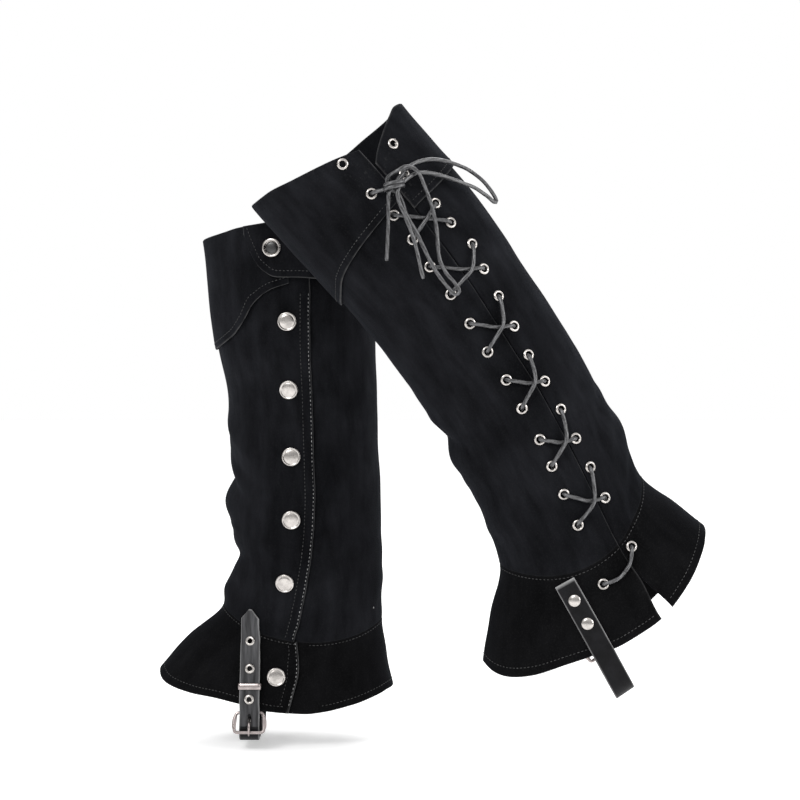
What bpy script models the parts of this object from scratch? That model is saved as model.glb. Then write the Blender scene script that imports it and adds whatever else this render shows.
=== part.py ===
"""Pair of suede boot covers, worn: the right one stands, the left one is tilted with its heel raised.

Each cover is a set of cloth panels laid on one smooth sleeve. The sleeve is a loft through rings,
and a ring is a row of the cover's table. A place on the sleeve is given by three numbers:
the angle around it (0 in front, 90 on the outer side, 180 behind, -90 on the inner side),
the distance down from its top edge, and the lift away from it. All sizes are in millimetres.
A cover's own frame has x towards the heel and z up the leg.
"""
import math
from collections import namedtuple

import bmesh
import bpy
from mathutils import Matrix, Vector

MM = 0.001
WALL = 1.8
SEAM = 0.3
PANEL_SEAM = 0.4
LAYER_GAP = 0.9
LAYER = WALL + LAYER_GAP

LEG_TOP = 60.0
LEG_RISE = 20.0
LEG_RISE_FROM = 25.0
LEG_RISE_OVER = 20.0
ANKLE = 365.0
HEM_ROW = 450.0
SLIT_HALF_GAP = 0.45
UNDERLAP = 26.0
LAP_BEGINS = 46.0
LAP_RISE = 14.0
CUFF_LAP_BEGINS = 44.0
FOLD_RADIUS = 66.0
LEG_STEPS = 13
SPAT_STEPS = 5
CUFF_STEPS = 4
FRONT_COLUMNS = 16
BACK_COLUMNS = 13
BACK_CUFF_COLUMNS = 18

EYELET_HOLE = 6.0
HOLE_SIDES = 8
HOLE_DEPTH = 8.0
LACE = 3.2
LACE_CLEAR = 0.7
LACE_OVER = WALL + SEAM + LACE / 2 + 0.1
LACE_SLANT = 1.4
LACE_HALF_GAP = 0.4
LACE_UNDER_EDGE = 2.5
LACE_OVER_LACE = LACE + SEAM + 0.2
LACE_POINT_SPACING = 20.0
CROSSING_SAG = 7.0
SNAP = 17.0
SNAP_SIDES = 12
SNAP_CLEAR = 0.6
SNAP_MIDDLE = 1.7
SNAP_GROOVE = 1.6
SNAP_GROOVE_IN = 2.2
SNAP_RIM = 2.2
SNAP_RIM_IN = 1.2
SNAP_FROM_EDGE = 19.5
SPAT_SNAP_FROM_EDGE = 16.5
TAB_SNAP_ANGLE = -81.0
RIVET = 10.5
RIVET_SIDES = 10
RIVET_CLEAR = 0.5
RIVET_MIDDLE = 1.5
RIVET_SHOULDER = 1.2
RIVET_SHOULDER_SHARE = 0.65
RIVET_EDGE = 0.35

STRAP_WIDTH = 18.0
STRAP_THICK = 2.0
STRAP_HOLE = 4.4
PRONG_SLOT = 11.0
PRONG_SLOT_AT = -8.5
STRAP_TURN = 12.0
STRAP_TURN_STEPS = 4
STRAP_LIFT = WALL + 0.8
CHAPE_WIDTH = 16.0
CHAPE_THICK = 1.5
CHAPE_LOOP_STEPS = 5
BUCKLE_WIRE = 3.0
PRONG_WIRE = 2.2
KEEPER_HEIGHT = 5.7
KEEPER_WALL = 1.2

Row = namedtuple("Row", "down front_x front_z back_x back_z half_width dip dip_power square")
Fold = namedtuple("Fold", "angle down height half_length half_width slant")
Eyelet = namedtuple("Eyelet", "front_across front_down back_across back_down")
Edge = namedtuple("Edge", "angle top bottom")
Sway = namedtuple("Sway", "share rising crossing")
Bow = namedtuple("Bow", "heelward drop lift")

STANDING_ROWS = (
    Row(0, -48.5, 441, 101, 461, 68, -6, 2.0, 2.0),
    Row(100, -38.5, 350, 103.5, 352, 66, 0, 2.0, 2.0),
    Row(165, -27.5, 290, 105, 290, 63, 0, 2.0, 2.0),
    Row(240, -25, 212, 108, 215, 58, 2, 2.0, 2.0),
    Row(310, -23.5, 150, 109.5, 148, 51, 10, 2.0, 2.0),
    Row(365, -33, 106, 109, 94, 46, 23, 1.6, 2.1),
    Row(407, -65, 77, 114, 62, 49, 26, 1.2, 2.3),
    Row(450, -93, 46, 121, 28, 52, 26, 0.9, 2.5),
)

STEPPING_ROWS = (
    Row(0, -32, 466, 111, 466, 68, 3, 2.0, 2.0),
    Row(100, -19, 366, 121, 366, 66, 0, 2.0, 2.0),
    Row(165, -11, 301, 122, 301, 63, 0, 2.0, 2.0),
    Row(240, -10, 226, 121, 226, 58, 4, 2.0, 2.0),
    Row(310, -18, 156, 115, 156, 51, 18, 2.0, 2.0),
    Row(365, -31, 100, 105, 97, 46, 36, 1.6, 2.1),
    Row(407, -62, 69, 116, 62, 49, 40, 1.2, 2.3),
    Row(450, -90, 40, 127, 28, 52, 43, 0.9, 2.5),
)

STANDING_FOLDS = (
    Fold(0, 228, -5, 45, 8, -18),
    Fold(0, 251, 7, 50, 14, -18),
    Fold(0, 308, -6, 40, 11, 12),
    Fold(0, 346, 4, 40, 12, 0),
    Fold(-45, 205, 3, 45, 11, -35),
    Fold(-60, 285, 3, 35, 10, 25),
    Fold(-140, 290, 3, 40, 11, -15),
    Fold(150, 320, 3, 40, 10, 15),
    Fold(60, 262, 3, 45, 11, -20),
)

STEPPING_FOLDS = (
    Fold(0, 252, -3, 45, 9, 15),
    Fold(0, 272, 4, 45, 12, 15),
    Fold(40, 318, 3, 40, 11, -20),
    Fold(150, 300, -3, 40, 10, -25),
    Fold(165, 330, 4, 45, 12, -25),
    Fold(140, 352, -3, 30, 9, -30),
    Fold(150, 120, 3, 30, 45, 0),
    Fold(-50, 240, 3, 45, 11, -30),
    Fold(-150, 300, 3, 40, 11, 20),
)

PLACKET = ((60, -104), (100, -102), (160, -99.5), (240, -98.5), (290, -95), (335, -89), (365, -86))
SPAT_PLACKET = ((365, -88), (407, -95), (450, -94))
SLIT = ((0, 111), (365, 107), (450, 107.5))
HEM = (
    (0, 450), (20, 448), (45, 443.5), (65, 440), (78, 441.5), (90, 446),
    (100, 446), (108, 444), (125, 439), (145, 436.5), (160, 438), (180, 446))
SPAT_SPLIT = 396.0
SPAT_SPREAD = 3.3

FRONT_CUFF = (
    Edge(107, 14, 66),
    Edge(88, 8, 73),
    Edge(62, 3, 83),
    Edge(40, 0, 93),
    Edge(20, 0, 105),
    Edge(0, 0, 110),
    Edge(-20, 0, 107),
    Edge(-42, 0, 97),
    Edge(-55, 0, 84),
    Edge(-66, 0, 66),
    Edge(-78, 0, 56),
    Edge(-90, 2, 52),
)
BACK_CUFF = (
    Edge(109, 31, 80),
    Edge(116, 23, 78),
    Edge(127, 14, 76),
    Edge(142, 5, 73),
    Edge(156, 0, 70),
    Edge(178, 0, 66),
    Edge(205, 0, 61),
    Edge(225, 0, 57),
    Edge(245, 0, 51),
    Edge(262, 0, 48),
    Edge(278, 0, 46),
    Edge(287, 0, 38),
    Edge(293, 0, 24),
    Edge(297, 0, 7),
)
TAB_START = 235.0
TAB_RISE = 20.0
CUFF_FLARE = 2.5
CUFF_FLARE_ANGLE = 178.0
CUFF_FLARE_SPREAD = 40.0
CUFF_FLARE_FROM = 45.0
CUFF_FLARE_OVER = 60.0

TAB_SNAP_DOWN = 22
LEG_SNAP_DOWNS = (84, 148, 207, 262, 318)
SPAT_SNAP_DOWN = 405

EYELETS = (
    Eyelet(-22, 16, 21, 26),
    Eyelet(-20, 50, 10, 52),
    Eyelet(-17, 75, 17, 86),
    Eyelet(-17, 100, 17, 106),
    Eyelet(-19, 126, 21, 130),
    Eyelet(-18.5, 154, 16.5, 152),
    Eyelet(-18.5, 182, 14, 177),
    Eyelet(-19, 208, 11, 203.5),
    Eyelet(-18.5, 233.5, 8, 228),
    Eyelet(-20, 257.5, 7.5, 251.5),
    Eyelet(-19.5, 282, 7.5, 274.5),
    Eyelet(-21, 301, 7.5, 297),
    Eyelet(-22.5, 320, 7.5, 318),
    Eyelet(-23, 339, 7.5, 337.5),
    Eyelet(-25, 384.5, 9, 375.5),
)
CUFF_EYELETS = 2
SPAT_EYELET = 14

LACE_SWAYS = (Sway(0.3, 3.5, 1.5), Sway(0.5, 6.0, 2.0), Sway(0.7, 4.5, 1.0))
SWAYS_FROM_ROW = 5
FIRST_TURN = 0.4
FIRST_TURN_SAG = 2.1

FRONT_BOW = (
    Bow(-7, 7, 10.2),
    Bow(-2, 4, 11.6),
    Bow(3, -2, 11.2),
    Bow(9, -9, 10.8),
    Bow(19, -14, 10.7),
    Bow(32, -17, 10.4),
    Bow(46, -17, 10),
    Bow(59, -15, 10.5),
    Bow(69, -11, 11.5),
    Bow(76, -1, 13.2),
    Bow(81, 11, 14),
    Bow(83, 17, 12.5),
    Bow(76, 12, 10.8),
    Bow(66, 6, 9.6),
    Bow(55, 3, 9.2),
    Bow(41, -1, 9.6),
    Bow(28, -4, 10.2),
    Bow(16, -4, 12),
    Bow(7, 1, 12.8),
    Bow(1, 8, 15),
    Bow(0, 16, 15.6),
    Bow(5, 31, 15.6),
    Bow(12, 51, 15.6),
    Bow(20, 82, 15.6),
)
BACK_BOW = (
    Bow(-2, 5, 6.6),
    Bow(-6, 1, 7),
    Bow(-5, -3, 9.5),
    Bow(1, -6, 15.8),
    Bow(7, -8, 16.6),
    Bow(14, -3, 16.8),
    Bow(19, 7, 14.8),
    Bow(23, 16, 12.4),
    Bow(26, 26, 11.8),
    Bow(29, 43, 11.6),
    Bow(31, 67, 11.6),
    Bow(36, 79, 11.6),
    Bow(43, 88, 11.6),
    Bow(46, 94, 11.6),
    Bow(43, 96, 11.6),
    Bow(39, 92, 11.6),
    Bow(31, 81, 11.6),
    Bow(24, 67, 11.6),
    Bow(14, 45, 11.6),
    Bow(7, 31, 11.6),
    Bow(3, 17, 11.4),
    Bow(0, 11, 11.4),
    Bow(-5, 10, 12.8),
    Bow(-6, 18, 12.6),
    Bow(-6, 37, 12),
    Bow(-7, 65, 12),
)
KNOT_DOWN = 52.0

Cover = namedtuple(
    "Cover", "name side centre_y origin_x origin_z tilt rows folds strap_x strap_slope strap_drop bow_reach")
STANDING = Cover("right", 1, 90, -127, 20, 0, STANDING_ROWS, STANDING_FOLDS, -7.2, 0.03, 28, 0.72)
STEPPING = Cover("left", -1, -90, 168.8, 118.5, 34.2, STEPPING_ROWS, STEPPING_FOLDS, -2, 0.10, 37, 1.0)

Tip = namedtuple("Tip", "height half_width")
Station = namedtuple("Station", "height lift")
STRAP_TIP = (Tip(87.5, 0.8), Tip(83.5, 5.6), Tip(79.5, 9.0))
BILLET = (
    Station(87.5, 0.6),
    Station(61.5, 0.6),
    Station(49.5, 2.4),
    Station(31.5, 3.3),
    Station(18.5, 3.9),
    Station(4, 4.5),
    Station(-3.5, 4.9),
    Station(-16, 3.0),
    Station(-21, 2.7),
)
BILLET_HEIGHTS = (61.5, 49.5, 40.5, 30.5, 18.5, 11.5, 5.5, 2, -3.5, -9, -16)
OUTER_HEIGHTS = (-18, -8, -2, 3, 10, 18, 27, 37, 48, 57, 65)
STRAP_HOLES = (58, 34, 8)
RIVETS = (48.0, 27.0)
CHAPE = (
    Station(49.5, 0.4),
    Station(39.5, 0.4),
    Station(28.5, 1.6),
    Station(18.5, 2.2),
    Station(8, 2.5),
    Station(2, 2.8),
    Station(-3.5, 2.95),
)
PRONG = (
    Station(-9.3, 0.2),
    Station(-10.5, 2.2),
    Station(-12.0, 7.8),
    Station(-15.5, 9.6),
    Station(-20.5, 9.6),
    Station(-23.2, 9.0),
)
KEEPER_AT = 19.0
KEEPER_CLEAR = 0.35
HEEL_BAR = -3.5
LOWER_BAR = -20.5
HEEL_BAR_CENTRE = 1.2
LOWER_BAR_CENTRE = 6.6
STRAP_LEAVES = 0.5
STRAP_LEVEL_BELOW = -2.0
STRAP_LEVEL_OVER = 8.0
FRAME_HALF_WIDTH = 12.4
FRAME_FLARE = 1.2
FRAME_CORNER = 3.0
CORNER_CUT = 0.3

SUEDE = ("suede", (0.012, 0.012, 0.013, 1), 0.92, 0.0)
LEATHER = ("smooth_leather", (0.012, 0.012, 0.013, 1), 0.38, 0.0)
NICKEL = ("nickel", (0.62, 0.60, 0.57, 1), 0.28, 1.0)
LACE_CORD = ("lace_cord", (0.035, 0.035, 0.038, 1), 0.75, 0.0)


def make_material(spec):
    name, colour, roughness, metallic = spec
    material = bpy.data.materials.get(name) or bpy.data.materials.new(name)
    material.use_nodes = True
    shader = material.node_tree.nodes["Principled BSDF"]
    shader.inputs["Base Color"].default_value = colour
    shader.inputs["Roughness"].default_value = roughness
    shader.inputs["Metallic"].default_value = metallic
    material.diffuse_color = colour
    return material


def along(pairs, at):
    """Value at one place of a table of (place, value) pairs, on a smooth monotone curve."""
    places = [pair[0] for pair in pairs]
    values = [pair[1] for pair in pairs]
    if at <= places[0]:
        return values[0]
    if at >= places[-1]:
        return values[-1]
    slopes = [(values[i + 1] - values[i]) / (places[i + 1] - places[i]) for i in range(len(places) - 1)]
    tangents = [slopes[0]]
    for before, after in zip(slopes, slopes[1:]):
        tangents.append(0.0 if before * after <= 0 else 2 * before * after / (before + after))
    tangents.append(slopes[-1])
    i = max(k for k in range(len(slopes)) if places[k] <= at)
    span = places[i + 1] - places[i]
    t = (at - places[i]) / span
    h00 = (1 + 2 * t) * (1 - t) ** 2
    h10 = t * (1 - t) ** 2
    h01 = t * t * (3 - 2 * t)
    h11 = t * t * (t - 1)
    return h00 * values[i] + h10 * span * tangents[i] + h01 * values[i + 1] + h11 * span * tangents[i + 1]


def ring(cover, down):
    """All columns of the cover's table at one distance down."""
    columns = []
    for field in Row._fields[1:]:
        columns.append(along([(row.down, getattr(row, field)) for row in cover.rows], down))
    return Row(down, *columns)


def signed_power(value, power):
    return math.copysign(abs(value) ** power, value)


def fold_height(cover, angle, down):
    total = 0.0
    for fold in cover.folds:
        turn = (angle - fold.angle + 180) % 360 - 180
        around_mm = math.radians(turn) * FOLD_RADIUS
        down_mm = down - fold.down
        cosine = math.cos(math.radians(fold.slant))
        sine = math.sin(math.radians(fold.slant))
        lengthwise = (around_mm * cosine + down_mm * sine) / fold.half_length
        crosswise = (down_mm * cosine - around_mm * sine) / fold.half_width
        total += fold.height * math.exp(-lengthwise ** 2 - crosswise ** 2)
    return total


def skin(cover, angle, down):
    """Point of the sleeve in the cover's own frame: x to the heel, y to the outer side, z up."""
    row = ring(cover, down)
    cosine = math.cos(math.radians(angle))
    sine = math.sin(math.radians(angle))
    reach = signed_power(cosine, 2 / row.square)
    spread = signed_power(sine, 2 / row.square)
    middle_x = (row.front_x + row.back_x) / 2
    middle_z = (row.front_z + row.back_z) / 2
    half_x = (row.back_x - row.front_x) / 2
    half_z = (row.back_z - row.front_z) / 2
    push = fold_height(cover, angle, down)
    return Vector((
        middle_x - (half_x + push) * reach,
        (row.half_width + push) * spread,
        middle_z - half_z * reach - row.dip * abs(sine) ** row.dip_power,
    ))


def skin_normal(cover, angle, down):
    step = 0.8
    around_step = skin(cover, angle + step, down) - skin(cover, angle - step, down)
    down_step = skin(cover, angle, down + step) - skin(cover, angle, down - step)
    normal = around_step.cross(down_step)
    centre = ring(cover, down)
    outward = skin(cover, angle, down) - Vector(((centre.front_x + centre.back_x) / 2, 0, 0))
    outward.z = 0
    if normal.dot(outward) < 0:
        normal.negate()
    return normal.normalized()


def lay(cover, angle, down, lift=0.0):
    return skin(cover, angle, down) + skin_normal(cover, angle, down) * lift


def around_speed(cover, angle, down):
    """Millimetres around the sleeve in one degree."""
    return (skin(cover, angle + 1, down) - skin(cover, angle - 1, down)).length / 2


def stepped(cover, angle, down, across):
    """Angle reached from another one by going a few millimetres around the sleeve."""
    return angle + across / around_speed(cover, angle, down)


def locate(cover, x, z, side):
    """Angle and distance down of the sleeve's point that is seen at x, z from one side."""
    low = 0.0
    high = HEM_ROW + 10
    for _ in range(40):
        down = (low + high) / 2
        row = ring(cover, down)
        middle_x = (row.front_x + row.back_x) / 2
        half_x = (row.back_x - row.front_x) / 2
        ratio = max(-0.985, min(0.985, (middle_x - x) / half_x))
        angle = side * math.degrees(math.acos(signed_power(ratio, row.square / 2)))
        if skin(cover, angle, down).z > z:
            low = down
        else:
            high = down
    return angle, (low + high) / 2


def place(cover, point):
    """World position, in metres, of a point of the cover's own frame."""
    turn = math.radians(cover.tilt)
    x = point.x * math.cos(turn) - point.z * math.sin(turn)
    z = point.x * math.sin(turn) + point.z * math.cos(turn)
    world = Vector((cover.origin_x + x, cover.centre_y + cover.side * point.y, cover.origin_z + z))
    return (world - MOUNT) * MM


def mount_point():
    """Centre of the standing cover's top opening, where the leg holds it: the part's origin."""
    top = STANDING.rows[0]
    x = STANDING.origin_x + (top.front_x + top.back_x) / 2
    z = STANDING.origin_z + (top.front_z + top.back_z) / 2
    return Vector((x, STANDING.centre_y, z))


MOUNT = mount_point()


def new_collection(name):
    collection = bpy.data.collections.new(name)
    bpy.context.scene.collection.children.link(collection)
    return collection


def add_object(name, mesh, material, collection):
    thing = bpy.data.objects.new(name, mesh)
    thing.data.materials.append(make_material(material))
    collection.objects.link(thing)
    return thing


def shell(cover, name, inner, outer, material, collection, closed=False):
    """Closed wall between an inner and an outer grid of points in the cover's frame."""
    work = bmesh.new()
    inner_rows = [[work.verts.new(place(cover, point)) for point in row] for row in inner]
    outer_rows = [[work.verts.new(place(cover, point)) for point in row] for row in outer]
    count = len(inner[0])
    last = len(inner) - 1
    turns = range(count if closed else count - 1)
    for k in range(last):
        outer_a, outer_b = outer_rows[k:k + 2]
        inner_a, inner_b = inner_rows[k:k + 2]
        for i in turns:
            j = (i + 1) % count
            work.faces.new((outer_a[i], outer_a[j], outer_b[j], outer_b[i]))
            work.faces.new((inner_a[j], inner_a[i], inner_b[i], inner_b[j]))
        if not closed:
            work.faces.new((inner_a[0], outer_a[0], outer_b[0], inner_b[0]))
            work.faces.new((outer_a[-1], inner_a[-1], inner_b[-1], outer_b[-1]))
    for i in turns:
        j = (i + 1) % count
        work.faces.new((inner_rows[0][i], inner_rows[0][j], outer_rows[0][j], outer_rows[0][i]))
        work.faces.new((outer_rows[last][i], outer_rows[last][j], inner_rows[last][j], inner_rows[last][i]))
    if work.calc_volume(signed=True) < 0:
        bmesh.ops.reverse_faces(work, faces=work.faces)
    mesh = bpy.data.meshes.new(name)
    work.to_mesh(mesh)
    work.free()
    mesh.shade_smooth()
    mesh.set_sharp_from_angle(angle=math.radians(40))
    return add_object(name, mesh, material, collection)


def cloth(cover, name, grid, collection):
    """Suede wall on a grid of (angle, down, lift of the inner face)."""
    inner = [[lay(cover, angle, down, lift) for angle, down, lift in row] for row in grid]
    outer = [[lay(cover, angle, down, lift + WALL) for angle, down, lift in row] for row in grid]
    return shell(cover, name, inner, outer, SUEDE, collection)


def smooth_step(value):
    value = max(0.0, min(1.0, value))
    return value * value * (3 - 2 * value)


def front_panel_lift(edges, angle, down):
    """The front panels rise over the back ones near their inner edge."""
    if angle > 0:
        return 0.0
    return LAYER * smooth_step((LAP_BEGINS - angle + along(edges, down)) / LAP_RISE)


def back_panel_lift(edges, angle, down):
    return 0.0


def spaced(first, last, count):
    return [first + (last - first) * i / count for i in range(count + 1)]


def leg_top(angle):
    """The leg reaches up under the cuffs, less so beside the slit, where the lace passes."""
    from_slit = abs(angle - SLIT[0][1])
    return LEG_TOP - LEG_RISE * smooth_step((from_slit - LEG_RISE_FROM) / LEG_RISE_OVER)


def leg_bottom(angle):
    return ANKLE - PANEL_SEAM / 2


def spat_top(angle):
    return ANKLE + PANEL_SEAM / 2


def hem(angle):
    """Distance down of the hem: it rises at the sides, the same on both."""
    return along(HEM, abs((angle + 180) % 360 - 180))


def slit_angle(cover, down, gap_side):
    """Edge of a panel at the outer slit: -1 is the front panel's edge, 1 the back panel's."""
    edge = stepped(cover, along(SLIT, down), down, gap_side * SLIT_HALF_GAP)
    return edge + gap_side * SPAT_SPREAD * smooth_step((down - SPAT_SPLIT) / (HEM_ROW - SPAT_SPLIT))


def front_ends(cover, edges, down):
    return slit_angle(cover, down, -1), along(edges, down)


def back_ends(cover, edges, down):
    return slit_angle(cover, down, 1), 360 + stepped(cover, along(edges, down), down, UNDERLAP)


def panel(cover, name, edges, span, steps, columns, ends, lift, collection):
    """Cloth from the outer slit round to the inner placket, between its top and bottom edges."""
    top, bottom = span
    grid = []
    for k in range(steps + 1):
        share = k / steps
        level = top(0) + (bottom(0) - top(0)) * share
        row = []
        for angle in spaced(*ends(cover, edges, level), columns):
            down = top(angle) + (bottom(angle) - top(angle)) * share
            row.append((angle, down, lift(edges, angle, down)))
        grid.append(row)
    return cloth(cover, cover.name + name, grid, collection)


def panel_pair(cover, name, edges, span, steps, collection):
    front = panel(
        cover, name + "_front", edges, span, steps, FRONT_COLUMNS, front_ends, front_panel_lift, collection)
    back = panel(
        cover, name + "_back", edges, span, steps, BACK_COLUMNS, back_ends, back_panel_lift, collection)
    return front, back


def cuff(cover, name, edges, columns, lift, collection):
    sign = 1 if edges[0].angle < edges[-1].angle else -1
    tops = [(sign * edge.angle, edge.top) for edge in edges]
    bottoms = [(sign * edge.angle, edge.bottom) for edge in edges]
    grid = [[] for _ in range(CUFF_STEPS + 1)]
    for angle in spaced(edges[0].angle, edges[-1].angle, columns):
        downs = spaced(along(tops, sign * angle), along(bottoms, sign * angle), CUFF_STEPS)
        for row, down in zip(grid, downs):
            row.append((angle, down, lift(angle, down)))
    return cloth(cover, cover.name + name, grid, collection)


def front_cuff_lift(angle, down):
    return LAYER + LAYER * smooth_step((-angle - CUFF_LAP_BEGINS) / LAP_RISE)


def cuff_flare(angle, down):
    """The back cuff's lower edge stands off the leg a little behind."""
    behind = math.exp(-((angle - CUFF_FLARE_ANGLE) / CUFF_FLARE_SPREAD) ** 2)
    return CUFF_FLARE * behind * smooth_step((down - CUFF_FLARE_FROM) / CUFF_FLARE_OVER)


def back_cuff_lift(angle, down):
    over_front = 2 * LAYER * smooth_step((angle - TAB_START) / TAB_RISE)
    return LAYER + over_front + cuff_flare(angle, down)


def eyelet_place(cover, row, column):
    """Angle and distance down of one eyelet; column -1 is the front one."""
    eyelet = EYELETS[row]
    across, down = eyelet[:2] if column < 0 else eyelet[2:]
    return stepped(cover, along(SLIT, down), down, across), down


def wall_lift(row, angle, down):
    """Lift of the inner face of the panel that an eyelet goes through."""
    if row >= CUFF_EYELETS:
        return 0.0
    return back_cuff_lift(angle, down) if angle > 110 else front_cuff_lift(angle, down)


def frame_matrix(cover, angle, down, lift):
    """Placement whose Z points out of the cloth, X along it towards the heel."""
    origin = place(cover, lay(cover, angle, down, lift))
    out = (place(cover, lay(cover, angle, down, lift + 1)) - origin).normalized()
    tangent = (place(cover, lay(cover, angle, down + 1, lift)) - origin).normalized()
    side = tangent.cross(out).normalized()
    tangent = out.cross(side)
    turned = Matrix((side, tangent, out)).transposed().to_4x4()
    return Matrix.Translation(origin) @ turned


def cut_holes(thing, matrices, cutters):
    """Cuts a hole through a piece at each placement, whose scale is the hole's half width and length."""
    work = bmesh.new()
    for matrix in matrices:
        bmesh.ops.create_cone(
            work, cap_ends=True, segments=HOLE_SIDES, radius1=MM, radius2=MM,
            depth=HOLE_DEPTH * MM, matrix=matrix)
    mesh = bpy.data.meshes.new(thing.name + "_holes")
    work.to_mesh(mesh)
    work.free()
    cutter = bpy.data.objects.new(thing.name + "_holes", mesh)
    cutter.hide_render = True
    cutter.display_type = "WIRE"
    cutters.objects.link(cutter)
    cut = thing.modifiers.new("holes", "BOOLEAN")
    cut.operation = "DIFFERENCE"
    cut.object = cutter
    cut.solver = "EXACT"


def drill_eyelets(cover, panels, cutters):
    """panels: the cuff, leg and spat panel in front of the slit, then those behind it."""
    half = EYELET_HOLE / 2
    for column, (cuff_panel, leg_panel, spat_panel) in zip((-1, 1), panels):
        groups = {cuff_panel: [], leg_panel: [], spat_panel: []}
        for row in range(len(EYELETS)):
            angle, down = eyelet_place(cover, row, column)
            lift = wall_lift(row, angle, down) + WALL / 2
            cut_panel = spat_panel if row == SPAT_EYELET else leg_panel
            if row < CUFF_EYELETS:
                cut_panel = cuff_panel
            matrix = frame_matrix(cover, angle, down, lift) @ Matrix.Diagonal((half, half, 1, 1))
            groups[cut_panel].append(matrix)
        for cut_panel, matrices in groups.items():
            cut_holes(cut_panel, matrices, cutters)


def turned(name, profile, matrix, sides, material, collection):
    """A round piece: its profile runs from the axis at the top, down its side, back to the axis."""
    work = bmesh.new()
    spokes = [(math.cos(2 * math.pi * i / sides), math.sin(2 * math.pi * i / sides)) for i in range(sides)]
    rings = []
    for radius, height in profile:
        if radius == 0:
            rings.append([work.verts.new((0, 0, height * MM))])
            continue
        rings.append([work.verts.new((radius * MM * x, radius * MM * y, height * MM)) for x, y in spokes])
    for upper, lower in zip(rings, rings[1:]):
        for i in range(sides):
            j = (i + 1) % sides
            if len(upper) == 1:
                work.faces.new((upper[0], lower[i], lower[j]))
            elif len(lower) == 1:
                work.faces.new((upper[i], lower[0], upper[j]))
            else:
                work.faces.new((upper[i], lower[i], lower[j], upper[j]))
    mesh = bpy.data.meshes.new(name)
    work.to_mesh(mesh)
    work.free()
    mesh.shade_smooth()
    thing = add_object(name, mesh, material, collection)
    thing.matrix_world = matrix
    return thing


def seat(cover, angle, down, lift, radius):
    """Height of the cloth's highest point under a round piece, over its middle."""
    origin = lay(cover, angle, down, lift)
    outward = skin_normal(cover, angle, down)
    heights = [0.0]
    for k in range(8):
        turn = math.radians(45 * k)
        rim_down = down + radius * math.sin(turn)
        rim_angle = stepped(cover, angle, rim_down, radius * math.cos(turn))
        heights.append((lay(cover, rim_angle, rim_down, lift) - origin).dot(outward))
    return max(heights)


def snap_places(cover):
    """Angle, distance down and lift of the cloth under each snap."""
    tab_lift = back_cuff_lift(360 + TAB_SNAP_ANGLE, TAB_SNAP_DOWN)
    places = [(TAB_SNAP_ANGLE, TAB_SNAP_DOWN, tab_lift + WALL)]
    for down in LEG_SNAP_DOWNS:
        angle = stepped(cover, along(PLACKET, down), down, SNAP_FROM_EDGE)
        places.append((angle, down, LAYER + WALL))
    angle = stepped(cover, along(SPAT_PLACKET, SPAT_SNAP_DOWN), SPAT_SNAP_DOWN, SPAT_SNAP_FROM_EDGE)
    places.append((angle, SPAT_SNAP_DOWN, LAYER + WALL))
    return places


def snaps(cover, collection):
    radius = SNAP / 2
    groove = (radius - SNAP_GROOVE_IN, SNAP_GROOVE)
    rim = (radius - SNAP_RIM_IN, SNAP_RIM)
    profile = ((0, SNAP_MIDDLE), groove, rim, (radius, 0), (0, 0))
    for number, (angle, down, lift) in enumerate(snap_places(cover), 1):
        matrix = frame_matrix(cover, angle, down, lift + seat(cover, angle, down, lift, radius) + SNAP_CLEAR)
        turned(f"{cover.name}_snap_{number}", profile, matrix, SNAP_SIDES, NICKEL, collection)


def hem_height(cover):
    """Height of the hem on the strap's line, in the cover's frame."""
    row = ring(cover, HEM_ROW)
    ratio = ((row.front_x + row.back_x) / 2 - cover.strap_x) / ((row.back_x - row.front_x) / 2)
    angle = math.degrees(math.acos(signed_power(ratio, row.square / 2)))
    return skin(cover, angle, hem(angle)).z


def strap_point(cover, height, side, lift):
    """Point on the strap's line, a height above the hem, lifted from the cloth; and its outward."""
    low = hem_height(cover)
    x = cover.strap_x + cover.strap_slope * height
    angle, down = locate(cover, x, low + max(height, STRAP_LEAVES), side)
    on_cloth = skin_normal(cover, angle, down)
    level = Vector((0, side, 0))
    share = smooth_step((height - STRAP_LEVEL_BELOW) / STRAP_LEVEL_OVER)
    outward = (on_cloth * share + level * (1 - share)).normalized()
    base = Vector((x, skin(cover, angle, down).y, low + height))
    return base + outward * lift, outward


def ribbon(cover, name, stations, thick, collection):
    """Flat strap through stations (centre of its inner face, outward, half width)."""
    inner = []
    outer = []
    for centre, outward, half in stations:
        across = (Vector((1, 0, 0)) - outward * outward.x).normalized()
        inner.append([centre - across * half, centre + across * half])
        outer.append([point + outward * thick for point in inner[-1]])
    return shell(cover, cover.name + name, inner, outer, LEATHER, collection)


def station_lift(stations, height):
    """Lift from the spat's outer face, on the buckle side, at a height of a table."""
    pairs = [(-station.height, station.lift) for station in stations]
    return WALL + LAYER + along(pairs, -height)


def billet_point(cover, height, more=0.0):
    return strap_point(cover, height, -1, station_lift(BILLET, height) + more)


def strap_turn(cover, side, y_edge):
    """Quarter turn of the strap under the arch, from one side in to the middle."""
    low = hem_height(cover) - cover.strap_drop
    arc = []
    for k in range(STRAP_TURN_STEPS + 1):
        bend = math.radians(90 * k / STRAP_TURN_STEPS)
        z = low + STRAP_TURN * (1 - math.sin(bend))
        y = y_edge - side * STRAP_TURN * (1 - math.cos(bend))
        x = cover.strap_x + cover.strap_slope * (z - hem_height(cover))
        arc.append((Vector((x, y, z)), Vector((0, side * math.cos(bend), -math.sin(bend))), STRAP_WIDTH / 2))
    return arc


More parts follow.
